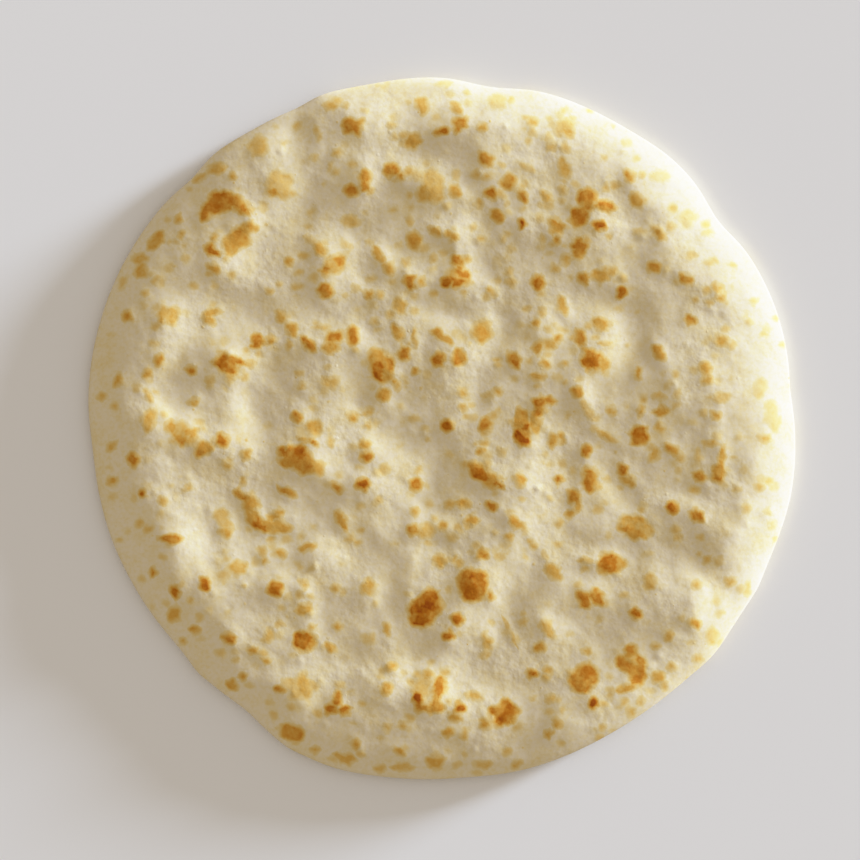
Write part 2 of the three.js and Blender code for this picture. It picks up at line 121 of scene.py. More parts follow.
LUMPS_RIGHT = [
    (84, 18, 13, 22, 0, 0.8), (93, 8, 9, 11, 0, 0.65), (80, 10, 12, 10, 0, 0.3), (103, 5, 4, 5, 0, 0.1),
    (92, -4, 5, 9, 0, 0.4), (106, -11, 5, 6, 0, 0.6), (47, 10, 4, 5, 0, 0.45), (35, 12, 8, 5, 0, 0.25),
    (54, 13, 6, 4, 45, -0.2), (41, -9, 7, 12, 0, -1.4), (41, -5, 4, 7, 0, 0.25), (56, -3, 7, 11, 0, -0.3),
    (52, -9, 11, 4, -60, -0.3), (61, -21, 6, 10, 30, -1.2), (66, -14, 5, 6, 0, -0.45),
    (72, -12, 5, 9, 0, -0.3), (80, -21, 8, 4, 0, -0.55), (102, -29, 4, 6, 0, 0.45),
    (106, 27, 11, 11, 0, -0.6),
]
LUMPS_LOWER_RIGHT = [
    (84, -33, 7, 5, -20, 0.3), (84, -28, 9, 4, -10, 0.3), (93, -37, 10, 8, -40, 0.5),
    (98, -37, 6, 4, 0, 0.3), (90, -47, 13, 6, -42, -1.0), (70, -43, 12, 9, -25, -1.2),
    (70, -45, 11, 4, -70, 0.6), (64, -43, 7, 6, 0, -0.6), (54, -33, 7, 6, 0, 0.4),
    (52, -29, 6, 4, 0, -0.45), (44, -27, 6, 6, 0, -0.6), (42, -35, 5, 7, 0, -0.35),
    (52, -40, 9, 4, 0, -0.5), (47, -50, 6, 4, 0, -0.3), (57, -52, 7, 5, 0, -0.65),
    (76, -62, 14, 10, 0, 1.5), (86, -60, 5, 8, 0, 0.6), (85, -63, 5, 10, -20, 0.35),
    (63, -75, 8, 11, 0, 0.3), (49, -67, 8, 7, 0, -0.5), (35, -66, 6, 8, 0, 0.5),
    (38, -63, 4, 4, 0, -0.25), (47, -86, 10, 8, 30, 0.4), (53, -94, 7, 5, 0, 0.3),
    (62, -88, 4, 10, -25, 0.25), (44, -101, 6, 5, 0, 0.4), (33, -97, 5, 5, 0, -0.25),
    (79, -52, 6, 6, 0, 0.4), (22, -47, 8, 8, 0, 0.5), (88, -53, 6, 6, 0, -0.4),
    (72, -86, 11, 11, 0, -0.6), (40, -100, 11, 11, 0, 0.5),
]
LUMPS_BOTTOM = [
    (11, -50, 8, 12, -35, 1.5), (15, -52, 9, 5, 0, 0.4), (11, -54, 6, 5, 0, 0.4),
    (4, -63, 6, 9, -20, 0.8), (21, -64, 6, 13, -25, -1.2), (25, -62, 4, 10, 0, -0.25),
    (31, -55, 4, 9, 0, -0.3), (29, -76, 5, 7, 0, -0.25), (10, -81, 8, 7, 30, -0.9),
    (12, -84, 6, 5, 0, 0.2), (25, -89, 8, 7, 0, -0.5), (26, -104, 8, 7, 0, -0.55),
    (20, -103, 9, 6, 0, -0.35), (5, -109, 5, 4, 0, -0.35), (5, -96, 4, 4, 0, 0.25),
    (-6, -92, 13, 7, -8, 1.3), (-22, -89, 10, 7, 0, 1.2), (-18, -93, 8, 4, 0, 0.2),
    (-8, -106, 9, 5, 0, -0.35), (-20, -106, 16, 4, 0, -0.2), (-32, -102, 12, 4, -15, -0.35),
    (-42, -93, 5, 5, 0, -0.4), (-9, -77, 7, 6, 0, -0.8), (-5, -58, 6, 10, 0, 0.85),
    (-12, -52, 4, 12, 0, 0.55), (-10, -35, 8, 4, 0, 0.3), (-26, -56, 6, 6, 0, 0.5),
    (-28, -58, 8, 6, -40, 0.25), (-13, -44, 11, 11, 0, 0.4),
]
LUMPS_LOWER_LEFT = [
    (-35, -76, 8, 6, 0, -0.6), (-28, -80, 8, 4, 0, -0.4), (-34, -88, 5, 4, 0, -0.3),
    (-42, -80, 6, 4, 0, -0.25), (-53, -81, 6, 5, 0, -0.45), (-54, -98, 8, 4, -20, 0.2),
    (-64, -78, 13, 6, -28, -0.85), (-69, -80, 8, 4, -20, -0.35), (-59, -72, 9, 8, 0, -0.4),
    (-46, -63, 4, 6, 0, 0.3), (-55, -54, 12, 6, 0, 0.9), (-60, -55, 11, 6, 0, 0.35),
    (-73, -48, 6, 8, 0, 0.5), (-82, -55, 8, 7, 0, 0.6), (-85, -53, 13, 4, -70, -0.5),
    (-90, -42, 7, 15, 20, 1.2), (-98, -49, 8, 6, 0, 0.5), (-80, -37, 4, 7, 15, -0.45),
    (-67, -30, 14, 10, -25, -1.3), (-58, -23, 5, 5, 0, -0.35), (-85, -27, 9, 5, -20, 0.25),
    (-48, -38, 9, 4, 0, -0.25), (-46, -44, 4, 4, 0, 0.35), (-41, -44, 7, 6, -40, 0.8),
    (-45, -28, 7, 6, 0, -0.5), (-47, -23, 6, 5, 0, -0.4), (-35, -32, 4, 4, 0, 0.2),
    (-28, -38, 9, 5, -35, -0.6), (-33, -42, 9, 4, -50, -0.35), (-22, -38, 8, 4, -40, 0.25),
    (-28, -24, 4, 5, 0, -0.25), (-27, -21, 9, 8, -20, 1.2), (-30, -13, 9, 4, -10, -0.3),
    (-45, -11, 8, 8, 0, 1.4), (-80, -70, 10, 11, 0, -0.5), (-40, -92, 11, 11, 0, -0.5),
    (-41, -68, 8, 8, 0, -0.4), (-104, -29, 9, 11, 0, -0.4),
]
LUMPS_LEFT = [
    (-95, -14, 6, 5, 0, 0.25), (-95, -2, 10, 8, -15, 1.2), (-76, -6, 11, 7, 0, 0.9),
    (-87, 2, 5, 8, 0, 0.35), (-81, 2, 4, 6, 0, -0.2), (-75, 8, 5, 5, 0, 0.2), (-65, 6, 9, 4, -62, -0.75),
    (-60, 14, 8, 14, -10, -1.9), (-59, 14, 4, 4, 0, 0.35), (-48, 18, 7, 9, 0, -0.2),
    (-91, 13, 9, 8, -20, -1.3), (-90, 15, 7, 6, 0, 0.5), (-104, 11, 5, 8, 0, -0.45),
    (-97, 23, 4, 5, 0, 0.3), (-76, 24, 10, 8, 0, 1.3), (-95, 32, 7, 9, 0, 0.9),
    (-101, 37, 5, 7, 0, -0.35), (-82, 36, 8, 5, -20, -0.3), (-69, 40, 12, 6, 0, -1.0),
    (-41, 27, 8, 7, 0, 0.4), (-38, 36, 10, 6, 10, -0.85),
]
LUMPS_UPPER_LEFT = [
    (-94, 47, 8, 6, 45, -0.5), (-77, 45, 4, 5, 0, -0.3), (-76, 56, 9, 8, 0, 1.2),
    (-63, 59, 6, 6, 0, -0.5), (-59, 65, 6, 8, 0, -0.3), (-66, 70, 12, 6, 50, 0.9),
    (-74, 76, 8, 9, 0, 0.45), (-58, 84, 8, 7, 0, 1.0), (-68, 84, 4, 4, 0, 0.3), (-62, 94, 6, 5, 0, 0.25),
]
TOP_LUMPS = (
    LUMPS_MIDDLE + LUMPS_TOP + LUMPS_UPPER_RIGHT + LUMPS_RIGHT + LUMPS_LOWER_RIGHT
    + LUMPS_BOTTOM + LUMPS_LOWER_LEFT + LUMPS_LEFT + LUMPS_UPPER_LEFT
)

# The underside lies on its resting face in the middle and stands clear of the surface in these hollows
REST_RADIUS = 26.0  # the resting face
REST_FADE = 10.0  # the hollows fade out over this width beside it and beside the rolled rim
UNDER_HOLLOWS = [
    (48, 30, 15, 9, 30, 0.9), (-12, 62, 18, 10, -15, 1.0), (-60, 20, 11, 15, 20, 0.8),
    (-38, -52, 16, 9, -35, 1.1), (30, -58, 12, 14, 0, 0.8), (78, -14, 9, 14, 10, 0.9),
    (-84, -28, 8, 12, 25, 0.7), (58, 66, 10, 9, 0, 0.8), (-52, 78, 9, 7, 35, 0.7),
    (4, -92, 14, 7, 5, 0.7), (88, 32, 7, 9, 0, 0.6), (-88, 40, 7, 9, -15, 0.6),
]

# Griddle marks of the top side, in bands from the far side to the near one.
# Each is x, y, browning, length, then the width where it isn't round and the turn where it isn't level.
# Browning runs from 0, white crumb, to 1, dark brown crust.
MARKS_ABOVE_90 = [
    (-30.5, 103, 0.85, 7, 6), (-62.5, 96.5, 0.45, 7.5, 5.5, 90), (-38, 110, 0.4, 5, 2.5),
    (-33, 110, 0.35, 1.5), (-42.5, 100.5, 0.3, 5, 2, -80), (-36, 94, 0.35, 3), (-43.5, 92.5, 0.3, 2.5),
    (-10, 98, 0.6, 6, 5, 50), (-7, 110, 0.5, 5.5, 4, -70), (-16.5, 99.5, 0.35, 2),
    (-0.5, 101, 0.75, 5, 2.5, 10), (6, 103.5, 0.8, 5.5, 4.5, 30), (13.5, 102.5, 0.5, 3),
    (5, 109, 0.45, 5, 2.5, -40), (19, 111.5, 0.25, 5.5, 5), (0.5, 117.5, 0.2, 5, 2),
    (30.5, 104.5, 0.4, 3.5, 2.5), (30.5, 100.5, 0.3, 2.5), (41.5, 102.5, 0.4, 7, 6),
    (43, 100.5, 0.5, 2.5), (37, 95.5, 0.35, 2.5), (42, 95.5, 0.35, 2.5), (36, 99, 0.25, 2),
    (63, 97.5, 0.2, 4, 3),
]
MARKS_ABOVE_60 = [
    (-77, 88.5, 0.55, 6, 4, 10), (-82.5, 85.5, 0.4, 5.5, 2, 35), (-71.5, 86, 0.5, 2.5),
    (-55.5, 83, 0.4, 10, 9), (-57.5, 80, 0.58, 4, 3, -40), (-26.5, 85.5, 0.7, 5.5, 4, 90),
    (-26.5, 82.5, 0.7, 3), (-31, 81, 0.75, 4.5), (-17.5, 88, 0.75, 5, 4.5), (-14.5, 85.5, 0.6, 3),
    (-11.5, 87.5, 0.4, 2.5), (-3, 82.5, 0.45, 12, 7, -80), (-5.5, 80, 0.54, 6.5, 5.5),
    (-8.5, 86, 0.3, 5, 3.5, -30), (4.5, 86.5, 0.3, 2.5), (4.5, 80.5, 0.5, 4.5, 3.5, -55),
    (15, 91.5, 0.65, 6, 4, -50), (11.5, 86.5, 0.4, 3), (15, 85.5, 0.35, 2.5),
    (22.5, 84, 0.7, 6, 4.5, 55), (16.5, 80, 0.75, 4), (27.5, 79, 0.75, 5, 2.5, -65),
    (35, 79, 0.5, 5, 2.5, -50), (28.5, 89, 0.3, 7, 1.5, -25), (41.5, 88.5, 0.5, 7, 3.5, -72),
    (49, 79, 0.85, 6.5, 6), (49.5, 76, 0.75, 5, 4, 70), (46.5, 72.5, 0.9, 7, 6.5, 70),
    (55.5, 75.5, 0.8, 6.5, 4, -12), (52, 76, 0.55, 3, 2), (53.5, 69, 0.8, 4.5, 3, -8),
    (63.5, 86, 0.6, 5, 3, -55), (66, 77.5, 0.6, 6, 4, -60), (55.5, 82, 0.4, 2), (41, 81, 0.35, 2.5),
    (74, 86, 0.2, 6, 4), (83.5, 71.5, 0.25, 7, 5), (90.5, 67, 0.25, 3.5, 2.5), (74, 66, 0.5, 5, 3, -50),
    (78, 68.5, 0.25, 4, 2, -30), (67, 67, 0.25, 4, 2), (-80.5, 73.5, 0.85, 6.5, 3.5, 65),
    (-76, 77, 0.9, 10, 7.5, 20), (-70.5, 77, 0.8, 7.5, 5, -35), (-67.5, 74.5, 0.7, 4, 2.5, -50),
    (-69.5, 64.5, 0.62, 13, 7.5, 55), (-69.5, 65, 0.78, 8, 4, 50), (-65, 69, 0.6, 3.5, 3),
    (-78.5, 60.5, 0.95, 5, 3.5, -35), (-78, 65, 0.5, 2.5, 2), (-90, 71.5, 0.5, 2.5), (-89, 66, 0.35, 2),
    (-97.5, 64, 0.65, 7, 4, 50), (-31, 70.5, 0.4, 5.5, 4), (-9.5, 64, 0.7, 6.5, 5, -60),
    (-2.5, 67, 0.5, 5.5, 2.5, -25), (3, 65.5, 0.6, 4.5, 3, -30), (18.5, 72.5, 0.65, 5, 3.5, -35),
    (27, 69.5, 0.85, 4, 2.5, 80), (12.5, 76.5, 0.3, 2.5), (22, 77, 0.3, 1.5), (33, 71.5, 0.3, 2.5, 2),
    (39, 68.5, 0.7, 5.5, 4.5), (39, 64, 0.55, 2.5), (46.5, 61.5, 0.9, 6.5, 5.5, 75),
]
MARKS_ABOVE_35 = [
    (42, 57.5, 0.4, 4, 2.5, 60), (-103, 57.5, 0.45, 5, 4), (-102.5, 53.5, 0.5, 5.5, 4, 60),
    (-78, 54.5, 0.5, 5.5, 2.5, -30), (-52.5, 57, 0.6, 2.5), (-41.5, 61, 0.55, 4.5, 3.5, -40),
    (-45, 64, 0.25, 5, 2, -35), (-32.5, 62.5, 0.25, 4, 2, -40), (-37, 55.5, 0.5, 9.5, 6, 32),
    (-35, 57, 0.6, 3), (-40, 53.5, 0.6, 3), (-22, 59.5, 0.6, 7.5, 3, -52),
    (-18.5, 54.5, 0.5, 4, 3.5, -50), (-11, 50, 0.75, 5.5, 3.5, -80), (-7, 50, 0.5, 3, 2.5),
    (-12.5, 56.5, 0.3, 2.5), (-3, 58, 0.4, 2), (5, 57, 0.65, 4, 3.5), (6, 54.5, 0.5, 4, 3, 90),
    (8, 57.5, 0.45, 2.5), (5.5, 51.5, 0.55, 9, 6.5, -20), (7, 53, 0.7, 5, 2, -50), (1.5, 50, 0.85, 4, 3),
    (5, 49.5, 0.8, 4, 3, 10), (-29.5, 48, 0.3, 2.5), (-25, 45.5, 0.5, 3.5, 3),
    (-21.5, 45.5, 0.4, 3, 2.5), (-40, 47, 0.85, 6, 4.5, -38), (-109, 50, 0.3, 4, 2, 65),
    (-97.5, 50.5, 0.3, 2.5), (-101.5, 46, 0.4, 2.5), (-59, 46.5, 0.3, 3.5, 2.5),
    (-107.5, 38, 0.6, 4, 3, -35), (-93, 39, 0.5, 7.5, 6), (-95.5, 36.5, 0.55, 2.5),
    (-78.5, 39.5, 0.5, 6, 2.5, 10), (-79.5, 37, 0.45, 4, 3, -30), (-55, 38, 0.4, 4, 3, -60),
    (-14.5, 41.5, 0.5, 6, 4, -75), (-23, 36.5, 0.25, 3.5, 2.5), (16.5, 46.5, 0.45, 3.5, 2.5, -60),
    (23.5, 50, 0.3, 3), (32.5, 49.5, 0.85, 6, 4, -80), (38.5, 54.5, 0.4, 3.5, 2.5, -40),
    (48, 51, 0.6, 4.5, 3, -75), (54, 52, 0.6, 6, 4.5), (58, 53.5, 0.45, 4, 2.5, 15), (61, 46.5, 0.9, 4),
    (72, 55, 0.6, 4), (83, 51, 0.6, 5, 3, -38), (93.5, 48, 0.4, 3.5, 3), (95, 44.5, 0.45, 3, 2.5),
    (91, 43, 0.3, 3.5, 2), (84.5, 37, 0.7, 4, 3, -25), (106, 43.5, 0.3, 2.5),
    (41, 41.5, 0.55, 7, 2.5, -70), (34, 39.5, 0.35, 3, 1.5, 80), (31.5, 36, 0.5, 2.5),
    (54, 35.5, 0.65, 6.5, 4.5, -20),
]
MARKS_ABOVE_10 = [
    (-51.5, 34, 0.6, 4), (-15.5, 33, 0.6, 7, 3, -65), (110.5, 34, 0.2, 2.5), (36, 34, 0.3, 2),
    (26.5, 35.5, 0.2, 1.5), (-63, 29.5, 0.85, 5, 4, 80), (-58.5, 30, 0.6, 3, 2.5),
    (-52, 28.5, 0.5, 3, 2, 80), (-45.5, 28.5, 0.8, 6, 3, -38), (-37, 31, 0.8, 6, 4, 25),
    (-38, 27.5, 0.6, 5.5, 4), (-30.5, 31.5, 0.85, 7, 4, -85), (-41.5, 34.5, 0.3, 5.5, 2),
    (-9.5, 30.5, 0.4, 7, 1.5, -85), (-13, 25.5, 0.7, 4), (-9, 19.5, 0.6, 2.5),
    (-21, 21.5, 0.65, 12, 8, -75), (-22, 20, 1.0, 7, 3.5, -78), (-18, 22, 0.65, 5, 2, -80),
    (-16, 15.5, 0.5, 4.5, 2, -60), (-1.5, 23.5, 0.85, 5.5, 4, 80), (5.5, 24, 0.8, 6, 4.5, 60),
    (-0.5, 31.5, 0.65, 8, 3, -32), (13.5, 33, 0.45, 8, 7, -35), (13.5, 32, 0.6, 5.5, 4.5, -80),
    (32.5, 27.5, 0.6, 6, 3, 80), (36.5, 28.5, 0.45, 4, 3.5), (39, 30.5, 0.6, 3, 2.5),
    (35, 22, 0.5, 4, 2.5, -45), (41.5, 22, 0.4, 2.5, 2), (24.5, 23.5, 0.8, 6, 4, -70),
    (47, 31, 0.7, 5.5, 3.5, -85), (55, 29, 0.45, 3.5, 1.5), (51.5, 23, 0.6, 9.5, 6.5, -25),
    (49.5, 22.5, 0.9, 5, 4, -80), (50, 25.5, 0.7, 4.5, 3.5, -40), (52.5, 23, 0.75, 5, 1.5, 90),
    (55, 21.5, 0.5, 5, 3.5, 90), (32.5, 17.5, 0.45, 5, 2), (73.5, 26, 0.7, 6.5, 2.8, -55),
    (66.5, 18.5, 0.5, 4, 2.5, 90), (95, 30, 0.5, 4.5, 4, -30), (98.5, 28.5, 0.3, 3, 2),
    (89.5, 20.5, 0.55, 4, 3.5, -60), (90, 16.5, 0.4, 4.5, 3), (95, 10.5, 0.35, 7, 3, 10),
    (-96.5, 23.5, 0.6, 4, 3, 70), (-100.5, 18.5, 0.55, 2.5), (-73.5, 22, 0.75, 8, 6.5, -30),
    (-75.5, 22.5, 0.9, 4.5, 4, 60), (-70.5, 23, 0.8, 6.5, 2.5, -18), (-66, 22, 0.4, 4, 2, -10),
    (-72, 19.5, 0.7, 4, 3), (-72.5, 17, 0.3, 3), (-85.5, 20, 0.7, 3.5, 3, -30), (-79, 16.5, 0.35, 2.5),
    (-110.5, 16.5, 0.45, 5, 2.5, 60), (-116, 11, 0.4, 3.5, 2), (-104, 14, 0.25, 2.5),
    (-100, 11, 0.35, 5, 2, -60), (-38, 15.5, 0.4, 5.5, 4.5), (-48, 14.5, 0.35, 2.5),
    (-39, 21, 0.25, 1.5), (-20, 11.5, 0.65, 5, 4, 80), (7, 12, 0.4, 3, 2.5), (19, 12.5, 0.4, 3, 2.5),
    (15, 11, 0.25, 4, 2.5), (45.5, 12.5, 0.6, 4, 3, -30), (108.5, 14, 0.3, 7.5, 4, 75),
]
MARKS_BELOW_10 = [
    (-84.5, 9, 0.5, 4, 2), (7, 7, 0.4, 2.5), (49.5, 6, 0.4, 8, 3, -58), (33, 9, 0.75, 5, 3.5),
    (36.5, 9.5, 0.65, 3.5, 3), (33, 6, 0.6, 4, 3, 90), (31.5, 2.5, 0.55, 8.5, 4, 85),
    (112.5, 4, 0.3, 11.5, 5, -80), (110, -3.5, 0.4, 4, 3), (-100, 2.5, 0.55, 8, 4, 75),
    (-88.5, -1.5, 0.5, 11.5, 6.5, -33), (-92.5, 0.5, 0.55, 3.5), (-85.5, -1, 0.6, 4, 3),
    (-89, -4, 0.55, 5, 2.5, -35), (-81.5, -7, 0.75, 6, 5, 40), (-75, -4, 0.85, 4.5),
    (-67, -9, 0.5, 3.5, 2.5, 80), (-112.5, -6, 0.35, 4, 2.5, 60), (-105.5, -10.5, 0.7, 4.5, 4, -50),
    (-49.5, 4, 0.6, 3.5, 2.5, -60), (-43.5, 0.5, 0.6, 6, 5), (-30.5, 4, 0.55, 3.5, 3),
    (-25.5, 5.5, 0.4, 4, 2.5, 20), (-25.5, 1, 0.3, 2), (-38, -4.5, 0.35, 4, 2, -80),
    (-26.5, -5.5, 0.5, 4, 3), (-25.5, -9.5, 0.75, 4, 3.5), (-46, -4, 0.4, 8, 2, -22),
    (-43.5, -5, 0.55, 2.5, 1.5, -20), (-49.5, -10.5, 0.78, 12, 8, -22), (-48.5, -8, 0.86, 4.5, 4),
    (-54.5, -8, 0.68, 4, 3, -60), (-43.5, -13, 0.6, 7, 5, -20), (1.5, 1, 0.85, 4), (-6, 0, 0.3, 2),
    (14.5, 1.5, 0.75, 6, 4, 75), (27, 0.5, 0.7, 12, 5.5, -80), (26, -3, 0.95, 5, 3, -55),
    (28, -5, 0.85, 4, 2.5, 15), (28.5, 0.5, 0.8, 2.5, 1.5), (37.5, -4, 0.6, 5, 2.5, 80),
    (40.5, -3.5, 0.5, 4.5, 3, -70), (55.5, -2.5, 0.45, 9, 2, -27), (49, -7.5, 0.7, 4, 3, 60),
    (67, -2.5, 0.95, 7, 6, 90), (57.5, 6, 0.4, 3.5, 2.5, -60), (67.5, 6, 0.4, 3.5, 2.5, 90),
    (74.5, 6, 0.6, 6, 3, 10), (74, 11, 0.4, 4, 2), (80, 11.5, 0.3, 2.5, 2), (79.5, 8, 0.3, 2.5),
    (74, 0.5, 0.4, 2.5), (93, 4.5, 0.5, 3, 2.5), (85, 2.5, 0.2, 2), (78, -7, 0.6, 5, 3, -35),
    (81, -10, 0.4, 2.5), (72, -9, 0.5, 5, 3.5, 80), (91.5, -5, 0.4, 4, 2.5), (95, -9.5, 0.55, 7, 2, 80),
    (94, -15.5, 0.75, 7, 4.5, 85), (87, -9.5, 0.25, 5, 2, -85), (87.5, -16.5, 0.65, 4.5, 3.5, -45),
    (13, -8, 0.5, 3, 2.5), (20, -8, 0.25, 2.5, 2), (14, -16, 0.7, 12, 5.5, -37),
    (12.5, -15.5, 1.0, 6, 4.5, -40), (9, -12.5, 0.65, 3, 2, -30), (19.5, -19.5, 0.75, 3, 2, -50),
    (61.5, -14, 0.75, 4, 3.5, -50), (63.5, -18, 0.5, 5, 3, -20), (50.5, -17, 0.55, 9, 5.5, -80),
    (50, -18, 0.86, 7.5, 3.5, 85), (39.5, -17.5, 0.65, 3), (26.5, -17.5, 0.5, 4, 3, 70),
    (-27, -19, 0.9, 5, 4, 20), (-9, -19, 0.8, 5, 4, -35), (-8, -14, 0.3, 2), (-20, -14, 0.3, 4.5, 3, 30),
    (-112.5, -18, 0.45, 4, 3), (-68, -18, 0.4, 2.5, 2, 90), (-73.5, -12.5, 0.4, 4, 2, -30),
]
MARKS_BELOW_20 = [
    (44.5, -23, 0.65, 4.5, 3.5, -75), (46, -26, 0.5, 6, 2.5, 80), (43.5, -29, 0.5, 3.5, 2.5, 20),
    (-86.5, -20, 0.4, 2.5), (100, -20.5, 0.3, 2.5, 1.5), (108, -20, 0.35, 3.5, 2.5),
    (-53, -21.5, 0.7, 7, 2.5, -30), (-36, -20, 0.6, 5, 2.5, -40), (-102, -22, 0.7, 2.5),
    (-95.5, -24.5, 0.5, 2.5, 2), (-69, -22.5, 0.65, 5.5, 2.5, -30), (-65.5, -25.5, 0.65, 7, 5, -55),
    (-65, -29.5, 0.65, 8, 4.5, -62), (-62.5, -33, 0.8, 5, 3, -50), (-57.5, -33.5, 0.65, 11.5, 4.5, -8),
    (-58, -30.5, 0.5, 4, 3), (-55.5, -28.5, 0.5, 2.5), (-75, -30.5, 0.4, 7, 5, -70),
    (-73.5, -35.5, 0.5, 4, 3.5), (-92.5, -37.5, 0.85, 8, 3), (2.5, -26, 0.4, 3.5, 2.5),
    (7, -25.5, 0.5, 4, 3), (16.5, -26.5, 0.65, 5, 2.5, -30), (10, -31.5, 0.55, 4.5, 3),
    (0, -33, 0.5, 3, 2.5), (-9.5, -28.5, 0.45, 2.5), (-10, -34.5, 0.65, 4, 3.5), (-5.5, -35, 0.45, 6, 5),
    (-34.5, -31, 0.65, 7.5, 3, -65), (-31.5, -38, 0.3, 3.5, 2.5), (25.5, -32.5, 0.6, 6.5, 3, -38),
    (22.5, -37, 0.5, 3, 2.5), (30.5, -39.5, 0.4, 4, 1.5, -60), (65.5, -33.5, 0.55, 11.5, 8, -14),
    (65, -35.5, 0.75, 9, 3, -22), (66.5, -31, 0.6, 7, 2, -5), (78, -27, 0.9, 4, 3.5, -30),
    (86.5, -29.5, 0.8, 5.5, 4, -35), (103.5, -27.5, 0.3, 2.5), (111, -28.5, 0.2, 2.5),
    (112.5, -33, 0.2, 2.5), (80, -37, 0.35, 2), (3, -37, 0.25, 4, 3), (13.5, -42.5, 0.65, 4, 3.5),
    (-46, -40.5, 0.55, 6, 2.5, 15), (-61.5, -41.5, 0.4, 3, 2.5), (-60.5, -45, 0.45, 3, 2, 80),
    (-55.5, -42.5, 0.5, 4, 3, -30), (-0.5, -45, 0.5, 5, 4), (4, -44.5, 0.35, 3, 1.5, 80),
    (57, -46, 0.65, 9, 7.5), (56.5, -46, 0.95, 6.5, 5), (49, -45, 0.3, 5, 1.5), (90, -45, 0.4, 2.5),
    (94, -45, 0.3, 2.5),
]
MARKS_BELOW_45 = [
    (38, -49, 0.6, 7.5, 4, -45), (35, -43, 0.3, 3.5, 1.5, -80), (98, -52, 0.35, 4, 2.5),
    (-69.5, -47.5, 0.55, 6, 5, -10), (-74.5, -50, 0.3, 3.5), (-98.5, -49, 0.6, 3.5, 2.5, 80),
    (-81, -53, 0.9, 5, 3.5, -60), (-91, -55.5, 0.75, 4.5, 3, -80), (-91.5, -63, 0.55, 5.5, 4, 80),
    (-57, -54.5, 0.9, 5), (-25.5, -54, 0.55, 6, 4.5, 70), (-36.5, -54.5, 0.4, 2.5),
    (-47.5, -53, 0.4, 3.5, 2, -60), (-48.5, -56.5, 0.35, 2.5), (-47, -61.5, 0.55, 6, 3.5, 15),
    (10, -53.5, 0.85, 11.5, 9.5, -70), (9.5, -55, 1.0, 7.5, 5, -60), (12, -50, 0.95, 6, 3),
    (16.5, -57, 0.6, 3.5, 2.5, 80), (-6, -61.5, 0.8, 14, 10, 52), (-4, -57, 1.0, 6, 5, 60),
    (-9, -61.5, 0.95, 5, 3.5), (-7, -65.5, 0.95, 5, 3.5, 30), (-4.5, -60.5, 1.0, 5, 4, 80),
    (5, -65, 0.85, 4), (2, -70.5, 0.75, 4, 3), (48, -58, 0.8, 7, 4, -75), (52.5, -57.5, 0.8, 6, 4, -60),
    (70.5, -52, 0.45, 5, 4, -60), (86.5, -53, 0.35, 2.5), (104, -54.5, 0.3, 5, 2.5, 75),
    (66, -63, 0.85, 3.5, 3, -50), (23, -69.5, 0.4, 12.5, 1, -65), (36, -68.5, 0.5, 7.5, 3, -55),
    (33, -74.5, 0.6, 4, 3.5), (27.5, -66, 0.35, 2.5), (-19, -68.5, 0.45, 4.5, 2, -75),
    (-36, -67.5, 0.45, 3, 2.5), (-25, -71.5, 0.25, 5, 3.5), (15.5, -73, 0.5, 2.5),
    (14.5, -70, 0.35, 2.5), (-72.5, -71.5, 0.75, 4.5, 4), (-84.5, -68.5, 0.5, 3, 2.5),
    (-88.5, -72.5, 0.45, 2.5, 2), (-47, -72.5, 0.7, 8, 7), (-48, -72, 1.0, 6, 5.5),
    (-44.5, -68, 0.5, 3, 2, 25), (-59, -70.5, 0.4, 5, 3, 80), (-55.5, -66.5, 0.35, 2.5, 2),
    (86, -66.5, 0.6, 3.5, 3), (77, -70.5, 0.4, 3.5, 2.5, -50), (92, -70.5, 0.35, 6, 4, 80),
    (94.5, -63, 0.2, 2.5),
]
